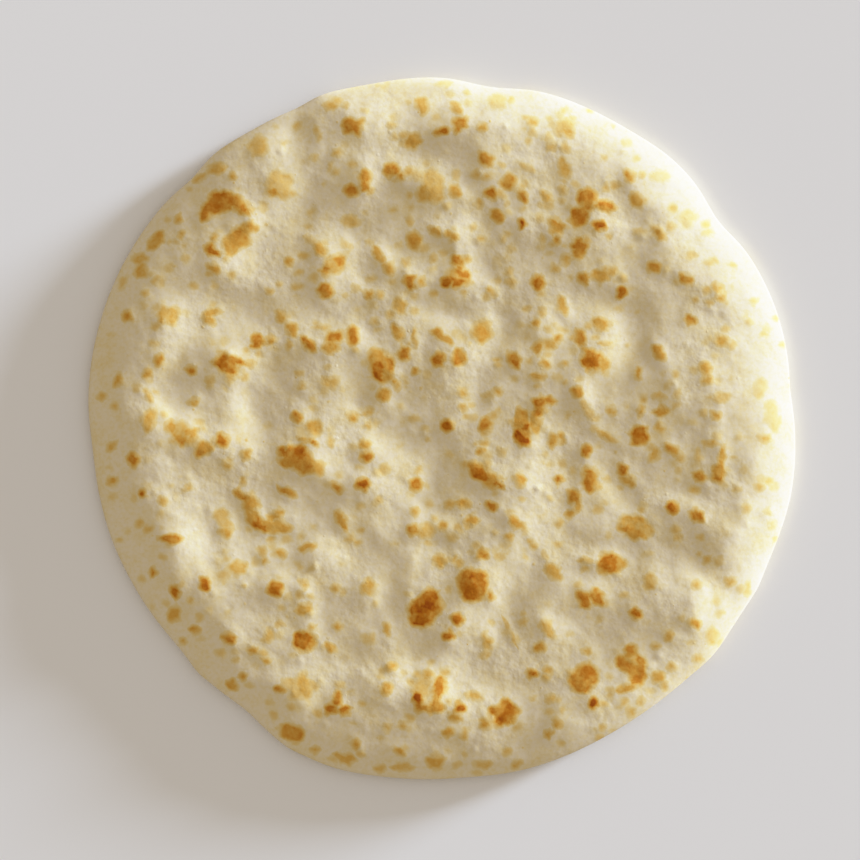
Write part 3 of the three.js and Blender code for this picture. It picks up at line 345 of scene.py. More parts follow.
MARKS_BELOW_75 = [
    (49, -76, 0.4, 2.5), (14.5, -77, 0.35, 2.5), (-38.5, -74.5, 0.55, 4.5, 2.5, -35),
    (-64.5, -75.5, 0.45, 3.5, 2.5), (-60, -79, 0.4, 3.5, 1.5, -20), (-70.5, -79, 0.3, 1.5),
    (-17.5, -81, 0.55, 3.5, 2.5), (-19, -88.5, 0.5, 4.5, 2.5, 75), (-68, -84.5, 0.5, 2.5),
    (-71.5, -87.5, 0.55, 4, 3, -30), (-55.5, -88.5, 0.6, 3.5, 3), (-48.5, -88, 0.4, 10.5, 8.5),
    (-47, -88, 0.55, 8, 3.5, -80), (-5, -83.5, 0.55, 3), (-1, -87.5, 0.85, 7.5, 3.5, 80),
    (-8.5, -92, 1.0, 4, 3.5, -50), (-3.5, -95, 0.7, 8, 4, 5), (-2, -91, 0.7, 8, 3.5, 80),
    (-7.5, -95, 0.6, 4, 2.5, -30), (-7, -88, 0.42, 8, 6, 70), (6, -95, 0.8, 4, 3),
    (4.5, -98.5, 0.45, 4, 2.5), (11, -91, 0.45, 4, 2.5, -20), (-36, -92, 0.75, 5, 3, 85),
    (-38, -95.5, 0.75, 4), (-33.5, -96, 0.75, 3.5, 3), (21, -97, 0.85, 9.5, 8.5, 38),
    (22.5, -96.5, 0.85, 4.5, 4, 60), (20, -99, 0.8, 4, 2.5), (14.5, -100.5, 0.5, 4, 3, -25),
    (-51.5, -103.5, 0.75, 9, 5.5, -22), (30.5, -83.5, 0.75, 4, 2.5), (36, -82.5, 0.45, 2.5),
    (37, -92, 0.4, 3, 2.5), (30.5, -92, 0.3, 1.5), (48, -85, 0.8, 11, 9, 45),
    (49, -83, 0.88, 6.5, 5, 70), (46, -86, 0.85, 5.5, 4.5, 30), (48, -88.5, 0.5, 4, 3),
    (51.5, -93.5, 0.85, 3.5, 3), (65, -80.5, 0.55, 13, 8, -75), (61, -80, 0.75, 6, 3.5, -40),
    (64.5, -82.5, 0.75, 6, 4, -45), (66.5, -85, 0.8, 6, 4, 60), (67.5, -80.5, 0.7, 6, 2.5, -80),
    (63.5, -75.5, 0.6, 4, 3, 90), (62, -88.5, 0.6, 7, 2.5, 10), (73.5, -84.5, 0.5, 4.5, 3.5, 30),
    (75.5, -87.5, 0.4, 2.5), (78, -81, 0.35, 2.5), (39, -100.5, 0.5, 4, 2.5, -75), (36, -104, 0.6, 2.5),
    (2, -103.5, 0.55, 3.5, 2.5), (7.5, -104, 0.35, 4, 2.5, 75), (-13.5, -101, 0.35, 2.5),
    (-19, -102, 0.3, 2.5), (-29.5, -107.5, 0.5, 3.5, 2.5, 80), (-33, -112.5, 0.55, 8, 3.5, -15),
    (-43.5, -109.5, 0.45, 2.5, 1.5), (-14.5, -110, 0.5, 3.5, 2.5), (-2.5, -113.5, 0.6, 6, 5),
    (-13.5, -115.5, 0.4, 8.5, 2), (-21.5, -116, 0.35, 4, 2), (13.5, -114.5, 0.4, 6.5, 2.5),
    (25, -114.5, 0.4, 4, 2, 15), (87, -78.5, 0.35, 3.5, 2.5), (72.5, -74, 0.35, 3, 2), (57, -91, 0.3, 2),
    (67.5, -93, 0.3, 2.5), (64, -96.5, 0.35, 2.5), (54.5, -102, 0.35, 2.5),
]
TOP_MARKS = (
    MARKS_ABOVE_90 + MARKS_ABOVE_60 + MARKS_ABOVE_35 + MARKS_ABOVE_10
    + MARKS_BELOW_10 + MARKS_BELOW_20 + MARKS_BELOW_45 + MARKS_BELOW_75
)

# How a mark looks
MARK_WAVES = (2, 3, 4, 5)  # lobes round a mark's outline
MARK_UNEVEN = 0.05  # typical share of the mark's radius that each kind of lobe moves it
MARK_BEND = 0.24  # the skin's wrinkles typically shift the marks' outlines this much
MARK_BEND_WAVE = 5.0
MARK_PALER = 0.28  # a large mark is this share less brown than its row says
MARK_PALER_SIZE = (2.5, 6.0)  # nothing of that below the first size, all of it above the second
MARK_BLEND = 0.45  # how softly one mark's browning gives way to its neighbour's
MARK_HALO = 3.0  # how far outside its edge a mark is followed
UNMARKED = -9.0  # depth of skin that no mark is near
BLISTER_RISE = 0.16  # the skin under a mark stands this much proud
BLISTER_BROWNED = 0.12  # and this much more where it is fully brown
BLISTER_SMALL = 3.0  # a mark smaller than this rises less
BLISTER_SPREAD = 1.35  # half width of that blister, in half sizes of the mark
BLISTER_MARGIN = 1.2  # and this much more

# Specks: small pimples and pits of the skin, half of them pale yellow, strewn at random
SPECKS = 1600
SPECK_HALF_WIDTH = (0.8, 1.6)
SPECK_HEIGHT = 0.045  # mean
SPECK_SIGNS = (-0.4, 1, 1)  # one in three is a pit, and shallower
SPECK_BROWNING = (-0.3, 0.32)  # those below 0 have no colour
SPECK_COLOURED = (2.0, 1.6)  # length and width of the yellow, in half widths of the pimple
SPECK_EDGE = (-0.9, 0.8)  # the browning of a speck grows over this depth
SPECK_GATHERED = 0.6  # share of the specks that lie around marks
SPECK_STRAY = 6.0  # how far from them

# Fine wrinkles of the skin run mostly one way
WRINKLES = 300
WRINKLE_HALF_LENGTH = (3.0, 7.0)
WRINKLE_HALF_WIDTH = (0.9, 1.3)
WRINKLE_HEIGHT = 0.03  # typical, up or down
WRINKLE_TURN = (-42.0, 22.0)  # mean and spread

# The underside's own marks are strewn at random
UNDER_MARKS = 210
UNDER_MARK_SIZE = (2.5, 12.0)
UNDER_MARK_FEW = 2.5  # the higher, the fewer large ones
UNDER_MARK_WIDTH = (0.5, 1.0)  # share of its length
UNDER_BROWNING = (0.35, 0.9)

# Skin relief too small for single lumps: wavelength and typical height of each size
SKIN_RIPPLES = [(14.0, 0.02), (7.0, 0.016)]
RIPPLE_WAVES = 48
RIPPLE_SPREAD = (0.7, 1.4)  # shortest and longest wave, in wavelengths

# Mesh: rings of six more points each round a middle point
TOP_RINGS = 150
UNDER_RINGS = TOP_RINGS // 2
AROUND = 6 * TOP_RINGS  # points round the rim
CROWDING = 0.3  # how much closer the outermost rings lie than even ones
ROLL_STEPS = 8  # rings round the underside of the rim

SEED = 7


def bell(distance, half_width):
    return np.exp(-((distance / half_width) ** 2))


def turn_between(a, b):
    return (a - b + 180) % 360 - 180


def smooth(value, low, high):
    share = np.clip((value - low) / (high - low), 0, 1)
    return share * share * (3 - 2 * share)


def swelling(angle, swells):
    return sum(size * bell(turn_between(angle, at), wide) for at, wide, size in swells)


def outline_radius(angle):
    return RADIUS + swelling(angle, OUTLINE_SWELLS)


def placed(distance, angle):
    """Places at a distance and angle from the middle."""
    heading = np.radians(angle)
    return distance * np.cos(heading), distance * np.sin(heading)


def turned(x, y, at_x, at_y, turn):
    """Distances along and across an axis at `turn` degrees through a point."""
    cos, sin = math.cos(math.radians(turn)), math.sin(math.radians(turn))
    return (x - at_x) * cos + (y - at_y) * sin, (y - at_y) * cos - (x - at_x) * sin


def relief(x, y, lumps):
    height = np.zeros_like(x)
    for at_x, at_y, half_length, half_width, turn, size in lumps:
        reach = 3 * max(half_length, half_width)
        near = np.flatnonzero((abs(x - at_x) < reach) & (abs(y - at_y) < reach))
        along, across = turned(x[near], y[near], at_x, at_y, turn)
        height[near] += size * bell(along, half_length) * bell(across, half_width)
    return height


def ripples(x, y, wavelength, height, draw):
    """Even random relief of about one wavelength: many small waves in all directions."""
    total = np.zeros_like(x)
    for _ in range(RIPPLE_WAVES):
        heading = draw.uniform(0, 2 * math.pi)
        rate = 2 * math.pi / (wavelength * draw.uniform(*RIPPLE_SPREAD))
        start = draw.uniform(0, 2 * math.pi)
        total += np.cos(rate * (x * math.cos(heading) + y * math.sin(heading)) + start)
    return height * total * math.sqrt(2 / RIPPLE_WAVES)


def thinness(angle):
    return bell(turn_between(angle, THIN_ANGLE), THIN_HALF_WIDTH)


def rim_height(angle):
    return RIM_HEIGHT - THIN_RIM_DROP * thinness(angle)


def full_marks(marks):
    """Every mark with its width and turn filled in."""
    filled = []
    for x, y, browning, length, *rest in marks:
        width = rest[0] if rest else length
        turn = rest[1] if len(rest) > 1 else 0
        filled.append((x, y, browning, length, width, turn))
    return filled


def full_lumps(lumps):
    """The lumps with their strength turned into a height."""
    return [(*lump[:5], LUMP_HEIGHT * lump[5]) for lump in lumps]


def within_larger(mark, marks):
    """Whether a mark is only a darker place inside a larger one."""
    x, y, _, length, width, _ = mark
    for other_x, other_y, _, other_length, other_width, _ in marks:
        inside = math.hypot(x - other_x, y - other_y) < (other_length + other_width) / 4
        if inside and length * width < other_length * other_width:
            return True
    return False


def blisters(marks):
    """The lump of skin under each mark: these spots stood proud and touched the griddle."""
    lumps = []
    for mark in marks:
        if within_larger(mark, marks):
            continue  # the larger mark's own lump carries it
        at_x, at_y, browning, length, width, turn = mark
        long = BLISTER_SPREAD * length / 2 + BLISTER_MARGIN
        wide = BLISTER_SPREAD * width / 2 + BLISTER_MARGIN
        grown = min(1, (length + width) / 2 / BLISTER_SMALL)
        lumps.append((at_x, at_y, long, wide, turn, (BLISTER_RISE + BLISTER_BROWNED * browning) * grown))
    return lumps


def strewn_places(draw, number, within):
    """Random places spread evenly over a round."""
    distance = within * np.sqrt(draw.uniform(0, 1, number))
    heading = draw.uniform(0, 2 * math.pi, number)
    return distance * np.cos(heading), distance * np.sin(heading)


def strewn_specks(draw, marks):
    """The specks as lumps, and as marks where they have a colour."""
    x, y = strewn_places(draw, SPECKS, RADIUS)
    gathered = int(SPECK_GATHERED * SPECKS)
    centres = np.array(marks)[draw.integers(len(marks), size=gathered), :2]
    x[:gathered], y[:gathered] = (centres + draw.normal(0, SPECK_STRAY, (gathered, 2))).T
    half = draw.uniform(*SPECK_HALF_WIDTH, SPECKS)
    height = SPECK_HEIGHT * draw.exponential(1, SPECKS) * draw.choice(SPECK_SIGNS, SPECKS)
    browning = draw.uniform(*SPECK_BROWNING, SPECKS)
    lumps = [(*place, wide, wide, 0, high) for *place, wide, high in zip(x, y, half, height)]
    length, width = SPECK_COLOURED
    coloured = [
        (*place, brown, length * wide, width * wide, 0)
        for *place, brown, wide in zip(x, y, browning, half) if brown > 0
    ]
    return lumps, coloured


def strewn_wrinkles(draw):
    x, y = strewn_places(draw, WRINKLES, RADIUS)
    long = draw.uniform(*WRINKLE_HALF_LENGTH, WRINKLES)
    wide = draw.uniform(*WRINKLE_HALF_WIDTH, WRINKLES)
    turn = draw.normal(*WRINKLE_TURN, WRINKLES)
    height = draw.normal(0, WRINKLE_HEIGHT, WRINKLES)
    return list(zip(x, y, long, wide, turn, height))


def strewn_marks(draw):
    """Marks of the underside: many small ones and a few large."""
    x, y = strewn_places(draw, UNDER_MARKS, RADIUS - ROLL_IN)
    small, large = UNDER_MARK_SIZE
    length = small + (large - small) * draw.uniform(0, 1, UNDER_MARKS) ** UNDER_MARK_FEW
    width = length * draw.uniform(*UNDER_MARK_WIDTH, UNDER_MARKS)
    browning = draw.uniform(*UNDER_BROWNING, UNDER_MARKS)
    turn = draw.uniform(0, 180, UNDER_MARKS)
    return list(zip(x, y, browning, length, width, turn))


def inside_mark(x, y, mark, lobes=()):
    """Points near a mark, and how deep each lies inside its edge: negative outside."""
    at_x, at_y, _, length, width, turn = mark
    reach = length / 2 + MARK_HALO
    near = np.flatnonzero((abs(x - at_x) < reach) & (abs(y - at_y) < reach))
    along, across = turned(x[near], y[near], at_x, at_y, turn)
    heading = np.arctan2(across, along)
    edge = 0.5 / np.hypot(np.cos(heading) / length, np.sin(heading) / width)
    edge *= 1 + sum(size * np.cos(n * heading + start) for n, size, start in lobes)
    return near, edge - np.hypot(along, across)


def browned(x, y, marks, draw):
    """Depth inside the nearest mark's uneven edge, and how brown that mark is."""
    depth = np.full_like(x, UNMARKED)
    share = np.zeros_like(x)
    for mark in marks:
        lobes = [(n, draw.normal(0, MARK_UNEVEN), draw.uniform(0, 2 * math.pi)) for n in MARK_WAVES]
        near, inside = inside_mark(x, y, mark, lobes)
        depth[near] = np.maximum(depth[near], inside)
        tone = mark[2] * (1 - MARK_PALER * smooth((mark[3] + mark[4]) / 2, *MARK_PALER_SIZE))
        share[near] = np.maximum(share[near], tone * np.exp(np.minimum(inside, 0) / MARK_BLEND))
    return depth, share / np.exp(np.minimum(depth, 0) / MARK_BLEND)


def speckled(x, y, specks):
    """Browning by the specks."""
    browning = np.zeros_like(x)
    for speck in specks:
        near, inside = inside_mark(x, y, speck)
        browning[near] = np.maximum(browning[near], speck[2] * smooth(inside, *SPECK_EDGE))
    return browning


def top_height(x, y, angle, inward, lumps, draw):
    thin = thinness(angle)
    reach = np.clip(inward / (SHOULDER + swelling(angle, SHOULDER_SWELLS)), 0, 1)
    flattened = 1 - (1 - reach) ** (SHOULDER_FALL + THIN_FALL * thin)
    shoulder = flattened ** (SHOULDER_ROUND + THIN_ROUND * thin)
    rim = rim_height(angle)
    body = rim + (CRUMB_HEIGHT + THIN_RISE * thin - rim) * shoulder
    crest = CREST_HEIGHT * (1 - thin) * bell(inward - CREST_IN, CREST_HALF_WIDTH)
    fine = relief(x, y, lumps)
    for wavelength, height in SKIN_RIPPLES:
        fine += ripples(x, y, wavelength, height, draw)
    return body + crest * np.clip(inward / CREST_RAMP_IN, 0, 1) + fine * smooth(inward, 0, RELIEF_FADE)


def under_height(x, y, inward):
    outside_rest = smooth(np.hypot(x, y), REST_RADIUS, REST_RADIUS + REST_FADE)
    inside_roll = smooth(inward, ROLL_IN, ROLL_IN + REST_FADE)
    return relief(x, y, UNDER_HOLLOWS) * outside_rest * inside_roll


def ring_points(rings):
    """Share of the way out and angle of every point of a disc of rings, and its triangles, facing up."""
    share, angle, triangles = [[0.0]], [[0.0]], []
    start = [0]
    for k in range(1, rings + 1):
        start.append(start[-1] + (1 if k == 1 else 6 * (k - 1)))
        share.append(np.full(6 * k, k / rings))
        angle.append(np.arange(6 * k) * 60.0 / k)
        sector, step = np.divmod(np.arange(6 * k), k)
        inner = start[k - 1] + (sector * (k - 1) + step) % max(6 * (k - 1), 1)
        outer = start[k] + np.arange(6 * k)
        outer_next = start[k] + (np.arange(6 * k) + 1) % (6 * k)
        triangles.append(np.stack([inner, outer, outer_next], 1))
        between = step < k - 1
        inner_next = start[k - 1] + (sector * (k - 1) + step + 1) % max(6 * (k - 1), 1)
        triangles.append(np.stack([inner, outer_next, inner_next], 1)[between])
    return np.concatenate(share), np.concatenate(angle), np.concatenate(triangles)


def crowded(share):
    return share + CROWDING * (share - share**4) / 3


def top_side(draw):
    """Points and triangles of the top side. At each point: depth in a mark, its browning and the specks'."""
    share, angle, triangles = ring_points(TOP_RINGS)
    radius = outline_radius(angle)
    distance = radius * crowded(share)
    x, y = placed(distance, angle)
    marks = full_marks(TOP_MARKS)
    specks, coloured_specks = strewn_specks(draw, marks)
    lumps = full_lumps(TOP_LUMPS) + blisters(marks) + specks + strewn_wrinkles(draw)
    height = top_height(x, y, angle, radius - distance, lumps, draw)
    bent_x = x + ripples(x, y, MARK_BEND_WAVE, MARK_BEND, draw)
    bent_y = y + ripples(x, y, MARK_BEND_WAVE, MARK_BEND, draw)
    depth, browning = browned(bent_x, bent_y, marks, draw)
    speck_browning = speckled(bent_x, bent_y, coloured_specks)
    return np.stack([x, y, height], 1), triangles, (depth, browning, speck_browning)


def rolled_rim():
    """Rings of points from the rim's widest place down to the underside."""
    angle = np.arange(AROUND) * 360.0 / AROUND
    radius = outline_radius(angle)
    rings = []
    for step in np.linspace(0, 90, ROLL_STEPS + 1)[1:-1]:
        turn = math.radians(step)
        x, y = placed(radius - ROLL_IN * (1 - math.cos(turn)), angle)
        rings.append(np.stack([x, y, rim_height(angle) * (1 - math.sin(turn))], 1))
    return np.concatenate(rings)


def underside(draw):
    """Points and triangles of the underside, with its marks as top_side gives them."""
    share, angle, triangles = ring_points(UNDER_RINGS)
    radius = outline_radius(angle)
    distance = (radius - ROLL_IN) * share
    x, y = placed(distance, angle)
    height = under_height(x, y, radius - distance)
    depth, browning = browned(x, y, strewn_marks(draw), draw)
    return np.stack([x, y, height], 1), triangles[:, ::-1], (depth, browning, np.zeros_like(x))


def joined(upper, lower):
    """Bands between two rings of as many points."""
    upper_next, lower_next = np.roll(upper, -1), np.roll(lower, -1)
    return [np.stack([upper, lower, lower_next], 1), np.stack([upper, lower_next, upper_next], 1)]


def joined_to_half(outer, inner):
    """Bands between a ring and one of half as many points."""
    even, odd = outer[0::2], outer[1::2]
    inner_next, even_next = np.roll(inner, -1), np.roll(even, -1)
    return [
        np.stack([even, inner, odd], 1),
        np.stack([odd, inner, inner_next], 1),
        np.stack([odd, inner_next, even_next], 1),
    ]


def build_bread():
    """Points and triangles of the bread, its marks as named values of each point, and its middle."""
    draw = np.random.default_rng(SEED)
    top, top_faces, top_marks = top_side(draw)
    roll = rolled_rim()
    under, under_faces, under_marks = underside(draw)

    faces = [top_faces]
    ring = np.arange(len(top) - AROUND, len(top))
    for step in range(ROLL_STEPS - 1):
        lower = len(top) + step * AROUND + np.arange(AROUND)
        faces += joined(ring, lower)
        ring = lower
    first_under = len(top) + len(roll)
    faces += joined_to_half(ring, first_under + np.arange(len(under) - AROUND // 2, len(under)))
    faces.append(first_under + under_faces)

    points = np.concatenate([top, roll, under])
    middle = (points.min(0) + points.max(0)) / 2
    points[:, :2] -= middle[:2]
    bare = np.zeros(len(roll))
    sides = zip(top_marks, (bare + UNMARKED, bare, bare), under_marks)
    names = ("mark_depth", "mark_browning", "speck_browning")
    marks = {name: np.concatenate(values) for name, values in zip(names, sides)}
    return points, np.concatenate(faces), marks, middle


def add_bread(material):
    points, faces, marks, middle = build_bread()
    mesh = bpy.data.meshes.new("griddled_round")
    mesh.from_pydata((points * MM).tolist(), [], faces.tolist())
    for name, values in marks.items():
        mesh.attributes.new(name, "FLOAT", "POINT").data.foreach_set("value", values.astype(np.float32))
    mesh.shade_smooth()
    mesh.materials.append(material)
    bread = bpy.data.objects.new("griddled_round", mesh)
    bpy.context.collection.objects.link(bread)
    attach(bread, "root")
    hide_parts("lavash")
    return middle


# Materials

def linear(colour):
    """Linear RGBA of an sRGB hex colour."""
    channels = [int(colour[i : i + 2], 16) / 255 for i in (1, 3, 5)]
    return (*(c / 12.92 if c <= 0.04045 else ((c + 0.055) / 1.055) ** 2.4 for c in channels), 1.0)


def add_node(tree, kind, inputs=(), **settings):
    """Adds a node with its settings. An input is a value or another node's output socket."""
    node = tree.nodes.new(kind)
    for name, value in settings.items():
        setattr(node, name, value)
    for socket, value in dict(inputs).items():
        if isinstance(value, bpy.types.NodeSocket):
            tree.links.new(value, node.inputs[socket])
        else:
            node.inputs[socket].default_value = value
    return node


def new_material(name):
    material = bpy.data.materials.new(name)
    material.use_nodes = True
    material.node_tree.nodes.clear()
    return material, material.node_tree


# From clean crumb to dark crust: browning at each stop and the skin's colour there
CRUST_COLOURS = [
    (0.0, "#d9c9a8"), (0.06, "#d7c498"), (0.15, "#d4bb81"), (0.25, "#d2b371"), (0.35, "#cfa95d"),
    (0.45, "#cb9d49"), (0.55, "#c69039"), (0.65, "#bc7c27"), (0.75, "#b36b14"), (0.9, "#984a09"),
]

# Patterns of the crust, each with the size of its grain
RAGGED_GRAIN = 2.2
EDGE_WANDER = 0.45  # a mark's edge wanders this far in and out
EDGE_SOFT = (-1.05, 0.95)  # its browning grows over this depth
CORE_DEPTH = (0.2, 1.8)  # and over this depth it drops to this share in the mark's middle
CORE_BROWNING = 0.97
MOTTLE_GRAIN = 3.0
MOTTLE = (0.84, 1.1)  # browning of a mark's palest and darkest places

# Pimples: at most one in each cell of the skin, and none where the cell's chance is too low
PIMPLE_CELL = 3.5
PIMPLE_CHANCE = 0.4  # above this they grow with the chance
PIMPLE_REACH = 0.9  # radius of the largest
PIMPLE_WANDER = 0.35  # its edge wanders this far in and out
PIMPLE_RISE = 0.2  # its height, in grain heights
FRECKLE_CHANCE = 0.3  # a pimple below this has no colour
FRECKLE_BROWNING = 0.38  # of the darkest
FRECKLE_REGION = 22.0

CAST_GRAIN = 9.0  # patches of yellow cast
CAST_BROWNING = 0.09
FINE_GRAIN = 1.2  # and finer yellow mottling
FINE_BROWNING = 0.08

CRUMB_GRAIN = 2.8
CRUMB_PATCH = 14.0
CRUMB_PATCHES = (0.4, 1.2)  # grain height in the smoothest and the roughest patches
GRAIN_HEIGHT = 0.16
CRUMB_ROUGHNESS = 0.85
CRUST_ROUGHNESS = 0.75  # browned skin is a little smoother than floury crumb


def mark_browning(tree, place, ragged):
    """Browning of the griddle marks, ragged at the edge and mottled."""
    depth = add_node(tree, "ShaderNodeAttribute", attribute_name="mark_depth").outputs["Fac"]
    browning = add_node(tree, "ShaderNodeAttribute", attribute_name="mark_browning").outputs["Fac"]
    wander = add_node(
        tree, "ShaderNodeMapRange",
        {"Value": ragged, "From Min": 0.25, "From Max": 0.75, "To Min": -EDGE_WANDER, "To Max": EDGE_WANDER},
    )
    edge = add_node(tree, "ShaderNodeMath", {0: depth, 1: wander.outputs["Result"]}, operation="ADD")
    cover = add_node(
        tree, "ShaderNodeMapRange",
        {"Value": edge.outputs[0], "From Min": EDGE_SOFT[0], "From Max": EDGE_SOFT[1]},
    )
    core = add_node(
        tree, "ShaderNodeMapRange",
        {"Value": edge.outputs[0], "From Min": CORE_DEPTH[0], "From Max": CORE_DEPTH[1],
         "To Min": 1.0, "To Max": CORE_BROWNING},
    )
    mottle = add_node(
        tree, "ShaderNodeTexNoise", {"Vector": place, "Scale": 1 / (MOTTLE_GRAIN * MM), "Detail": 2.0},
    )
    mottled = add_node(
        tree, "ShaderNodeMapRange",
        {"Value": mottle.outputs["Fac"], "From Min": 0.35, "From Max": 0.65,
         "To Min": MOTTLE[0], "To Max": MOTTLE[1]},
    )
    for part in (cover, core, mottled):
        times = add_node(
            tree, "ShaderNodeMath", {0: browning, 1: part.outputs["Result"]}, operation="MULTIPLY",
        )
        browning = times.outputs[0]
    return browning


def pimples(tree, place, ragged):
    """Height of the skin's pimples, from 0 to 1, and the browning of those that are freckled."""
    cells = add_node(
        tree, "ShaderNodeTexVoronoi", {"Vector": place, "Scale": 1 / (PIMPLE_CELL * MM)},
    )
    chance = add_node(tree, "ShaderNodeSeparateColor", {0: cells.outputs["Color"]})
    wander = PIMPLE_WANDER / PIMPLE_CELL
    uneven = add_node(
        tree, "ShaderNodeMapRange",
        {"Value": ragged, "From Min": 0.25, "From Max": 0.75, "To Min": -wander, "To Max": wander},
    )
    away = add_node(
        tree, "ShaderNodeMath", {0: cells.outputs["Distance"], 1: uneven.outputs["Result"]}, operation="ADD",
    )
    reach = add_node(
        tree, "ShaderNodeMapRange",
        {"Value": chance.outputs[0], "From Min": PIMPLE_CHANCE, "To Max": PIMPLE_REACH / PIMPLE_CELL},
    )
    pimple = add_node(
        tree, "ShaderNodeMapRange",
        {"Value": away.outputs[0], "From Max": reach.outputs["Result"], "To Min": 1.0, "To Max": 0.0},
        interpolation_type="SMOOTHSTEP",
    )
    strength = add_node(
        tree, "ShaderNodeMapRange",
        {"Value": chance.outputs[1], "From Min": FRECKLE_CHANCE, "To Max": FRECKLE_BROWNING},
    )
    region = add_node(
        tree, "ShaderNodeTexNoise", {"Vector": place, "Scale": 1 / (FRECKLE_REGION * MM), "Detail": 1.0},
    )
    regions = add_node(
        tree, "ShaderNodeMapRange", {"Value": region.outputs["Fac"], "From Min": 0.42, "From Max": 0.6},
    )
    freckle = pimple.outputs["Result"]
    for part in (strength, regions):
        times = add_node(
            tree, "ShaderNodeMath", {0: freckle, 1: part.outputs["Result"]}, operation="MULTIPLY",
        )
        freckle = times.outputs[0]
    return pimple.outputs["Result"], freckle


def with_yellow_cast(tree, place, browning):
    """The browning with a yellow cast added in patches, and finer yellow mottling."""
    patches = add_node(
        tree, "ShaderNodeTexNoise",
        {"Vector": place, "Scale": 1 / (CAST_GRAIN * MM), "Detail": 4.0, "Roughness": 0.6},
    )
    fine = add_node(
        tree, "ShaderNodeTexNoise", {"Vector": place, "Scale": 1 / (FINE_GRAIN * MM), "Detail": 3.0},
    )
    for noise, from_min, most in ((patches, 0.45, CAST_BROWNING), (fine, 0.4, FINE_BROWNING)):
        cast = add_node(
            tree, "ShaderNodeMapRange",
            {"Value": noise.outputs["Fac"], "From Min": from_min, "From Max": 0.75, "To Max": most},
        )
        plus = add_node(tree, "ShaderNodeMath", {0: browning, 1: cast.outputs["Result"]}, operation="ADD")
        browning = plus.outputs[0]
    return browning


def crumbly_normal(tree, place, pimple):
    """The skin's fine grain, in rougher and smoother patches, with the pimples on it."""
    grain = add_node(
        tree, "ShaderNodeTexNoise",
        {"Vector": place, "Scale": 1 / (CRUMB_GRAIN * MM), "Detail": 2.5, "Roughness": 0.4},
    )
    patchy = add_node(
        tree, "ShaderNodeTexNoise", {"Vector": place, "Scale": 1 / (CRUMB_PATCH * MM), "Detail": 2.0},
    )
    patches = add_node(
        tree, "ShaderNodeMapRange",
        {"Value": patchy.outputs["Fac"], "From Min": 0.35, "From Max": 0.65,
         "To Min": CRUMB_PATCHES[0], "To Max": CRUMB_PATCHES[1]},
    )
    pimply = add_node(tree, "ShaderNodeMath", {0: pimple, 1: PIMPLE_RISE}, operation="MULTIPLY")
    rises = add_node(tree, "ShaderNodeMath", {0: pimply.outputs[0], 1: grain.outputs["Fac"]}, operation="ADD")
    crumbly = add_node(
        tree, "ShaderNodeMath", {0: rises.outputs[0], 1: patches.outputs["Result"]}, operation="MULTIPLY",
    )
    bump = add_node(
        tree, "ShaderNodeBump",
        {"Height": crumbly.outputs[0], "Distance": GRAIN_HEIGHT * MM, "Strength": 1.0},
    )
    return bump.outputs["Normal"]


def griddled_crust():
    """Baked wheat dough skin: matt, floury and pale, with golden to brown spots where it met the griddle."""
    material, tree = new_material("griddled_wheat_crust")
    place = add_node(tree, "ShaderNodeTexCoord").outputs["Object"]
    ragged = add_node(
        tree, "ShaderNodeTexNoise", {"Vector": place, "Scale": 1 / (RAGGED_GRAIN * MM), "Detail": 3.0},
    ).outputs["Fac"]
    browning = mark_browning(tree, place, ragged)
    pimple, freckle = pimples(tree, place, ragged)
    speck = add_node(tree, "ShaderNodeAttribute", attribute_name="speck_browning").outputs["Fac"]
    for spot in (speck, freckle):
        stronger = add_node(tree, "ShaderNodeMath", {0: browning, 1: spot}, operation="MAXIMUM")
        browning = stronger.outputs[0]
    browning = with_yellow_cast(tree, place, browning)

    ramp = add_node(tree, "ShaderNodeValToRGB", {0: browning})
    stops = ramp.color_ramp.elements
    while len(stops) < len(CRUST_COLOURS):
        stops.new(0.5)
    for stop, (at, colour) in zip(stops, CRUST_COLOURS):
        stop.position = at
        stop.color = linear(colour)
    rough = add_node(
        tree, "ShaderNodeMapRange",
        {"Value": browning, "From Max": 0.8, "To Min": CRUMB_ROUGHNESS, "To Max": CRUST_ROUGHNESS},
    )
    skin = add_node(
        tree, "ShaderNodeBsdfPrincipled",
        {"Base Color": ramp.outputs["Color"], "Roughness": rough.outputs["Result"],
         "Normal": crumbly_normal(tree, place, pimple), "IOR": 1.45, "Specular IOR Level": 0.1},
    )
    add_node(tree, "ShaderNodeOutputMaterial", {"Surface": skin.outputs[0]})
    return material


def painted_board():
    """Smooth pale board under the bread: eggshell paint, even and matt."""
    material, tree = new_material("eggshell_painted_board")
    paint = add_node(tree, "ShaderNodeBsdfPrincipled", {"Base Color": linear("#e4e0da"), "Roughness": 0.7})
    add_node(tree, "ShaderNodeOutputMaterial", {"Surface": paint.outputs[0]})
    return material


# Floor, light and camera

FLOOR_SIDE = 4.0


def add_floor():
    half = FLOOR_SIDE / 2
    corners = [(-half, -half, 0), (half, -half, 0), (half, half, 0), (-half, half, 0)]
    mesh = bpy.data.meshes.new("floor")
    mesh.from_pydata(corners, [], [(0, 1, 2, 3)])
    mesh.materials.append(painted_board())
    floor = bpy.data.objects.new("floor", mesh)
    bpy.context.collection.objects.link(floor)


KEY_AZIMUTH = 28.0  # the key light comes from the upper right, low over the bread
KEY_ELEVATION = 5.0
KEY_WIDTH = 10.0  # a soft box at some distance
KEY_STRENGTH = 13.4
KEY_COLOUR = "#d2e3ff"
FILL_STRENGTH = 0.598
FILL_COLOUR = "#fff8f0"


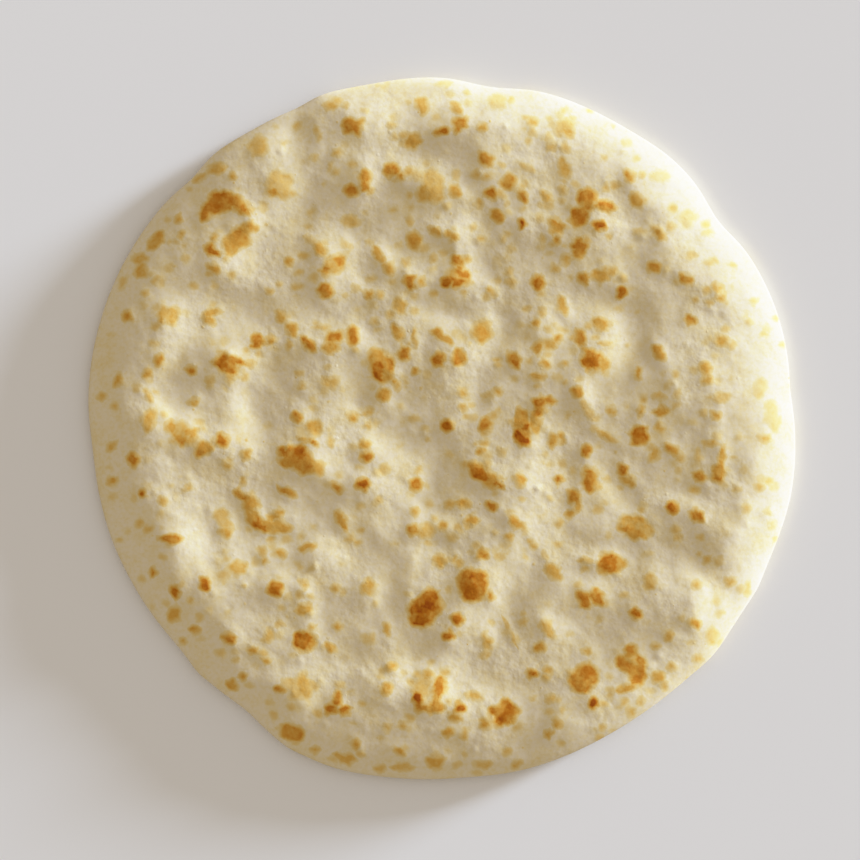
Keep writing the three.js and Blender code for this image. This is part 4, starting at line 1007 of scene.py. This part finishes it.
def add_light():
    sun = bpy.data.lights.new("key_light", "SUN")
    sun.energy = KEY_STRENGTH
    sun.color = linear(KEY_COLOUR)[:3]
    sun.angle = math.radians(KEY_WIDTH)
    key = bpy.data.objects.new("key_light", sun)
    key.rotation_euler = (math.radians(90 - KEY_ELEVATION), 0, math.radians(KEY_AZIMUTH + 90))
    bpy.context.collection.objects.link(key)

    world = bpy.data.worlds.new("fill_light")
    world.use_nodes = True
    background = world.node_tree.nodes["Background"]
    background.inputs["Color"].default_value = linear(FILL_COLOUR)
    background.inputs["Strength"].default_value = FILL_STRENGTH
    bpy.context.scene.world = world


PHOTO_SIDE = 860  # pixels
MIDDLE_PIXEL = (442.5, 428.5)  # where the middle of the round lies in the photo
ROUND_PIXELS = 703.2  # how wide the round shows there
LENS = 250.0
SENSOR = 36.0


def add_camera(middle):
    """The camera looks straight down, from where the round shows as wide as in the photo."""
    pixel = 2 * RADIUS / ROUND_PIXELS
    camera = bpy.data.cameras.new("camera")
    camera.lens = LENS
    camera.sensor_width = SENSOR
    seen = bpy.data.objects.new("camera", camera)
    right = (PHOTO_SIDE / 2 - MIDDLE_PIXEL[0]) * pixel - middle[0]
    up = (MIDDLE_PIXEL[1] - PHOTO_SIDE / 2) * pixel - middle[1]
    above = RIM_HEIGHT + PHOTO_SIDE * pixel * LENS / SENSOR
    seen.location = (right * MM, up * MM, above * MM)
    bpy.context.collection.objects.link(seen)
    bpy.context.scene.camera = seen


# The film holds tones up to the shoulder and rounds off what is brighter
SHOULDER_START = 0.7
BRIGHTEST = 2.0
CURVE_LIGHTS = (0.35, 0.7, 0.8, 0.9, 1.05, 1.25, 1.5)  # where the tone curve has its points


def set_tones():
    view = bpy.context.scene.view_settings
    view.view_transform = "Standard"
    view.use_curve_mapping = True
    view.curve_mapping.white_level = (BRIGHTEST,) * 3
    tones = view.curve_mapping.curves[3].points
    room = 1 - SHOULDER_START
    tones[-1].location = (1, 1 - room * math.exp(-(BRIGHTEST - SHOULDER_START) / room))
    for light in CURVE_LIGHTS:
        over = max(light - SHOULDER_START, 0)
        tones.new(light / BRIGHTEST, light - over + room * (1 - math.exp(-over / room)))
    view.curve_mapping.update()


outline_middle = add_bread(griddled_crust())
add_floor()
add_light()
add_camera(outline_middle)
set_tones()
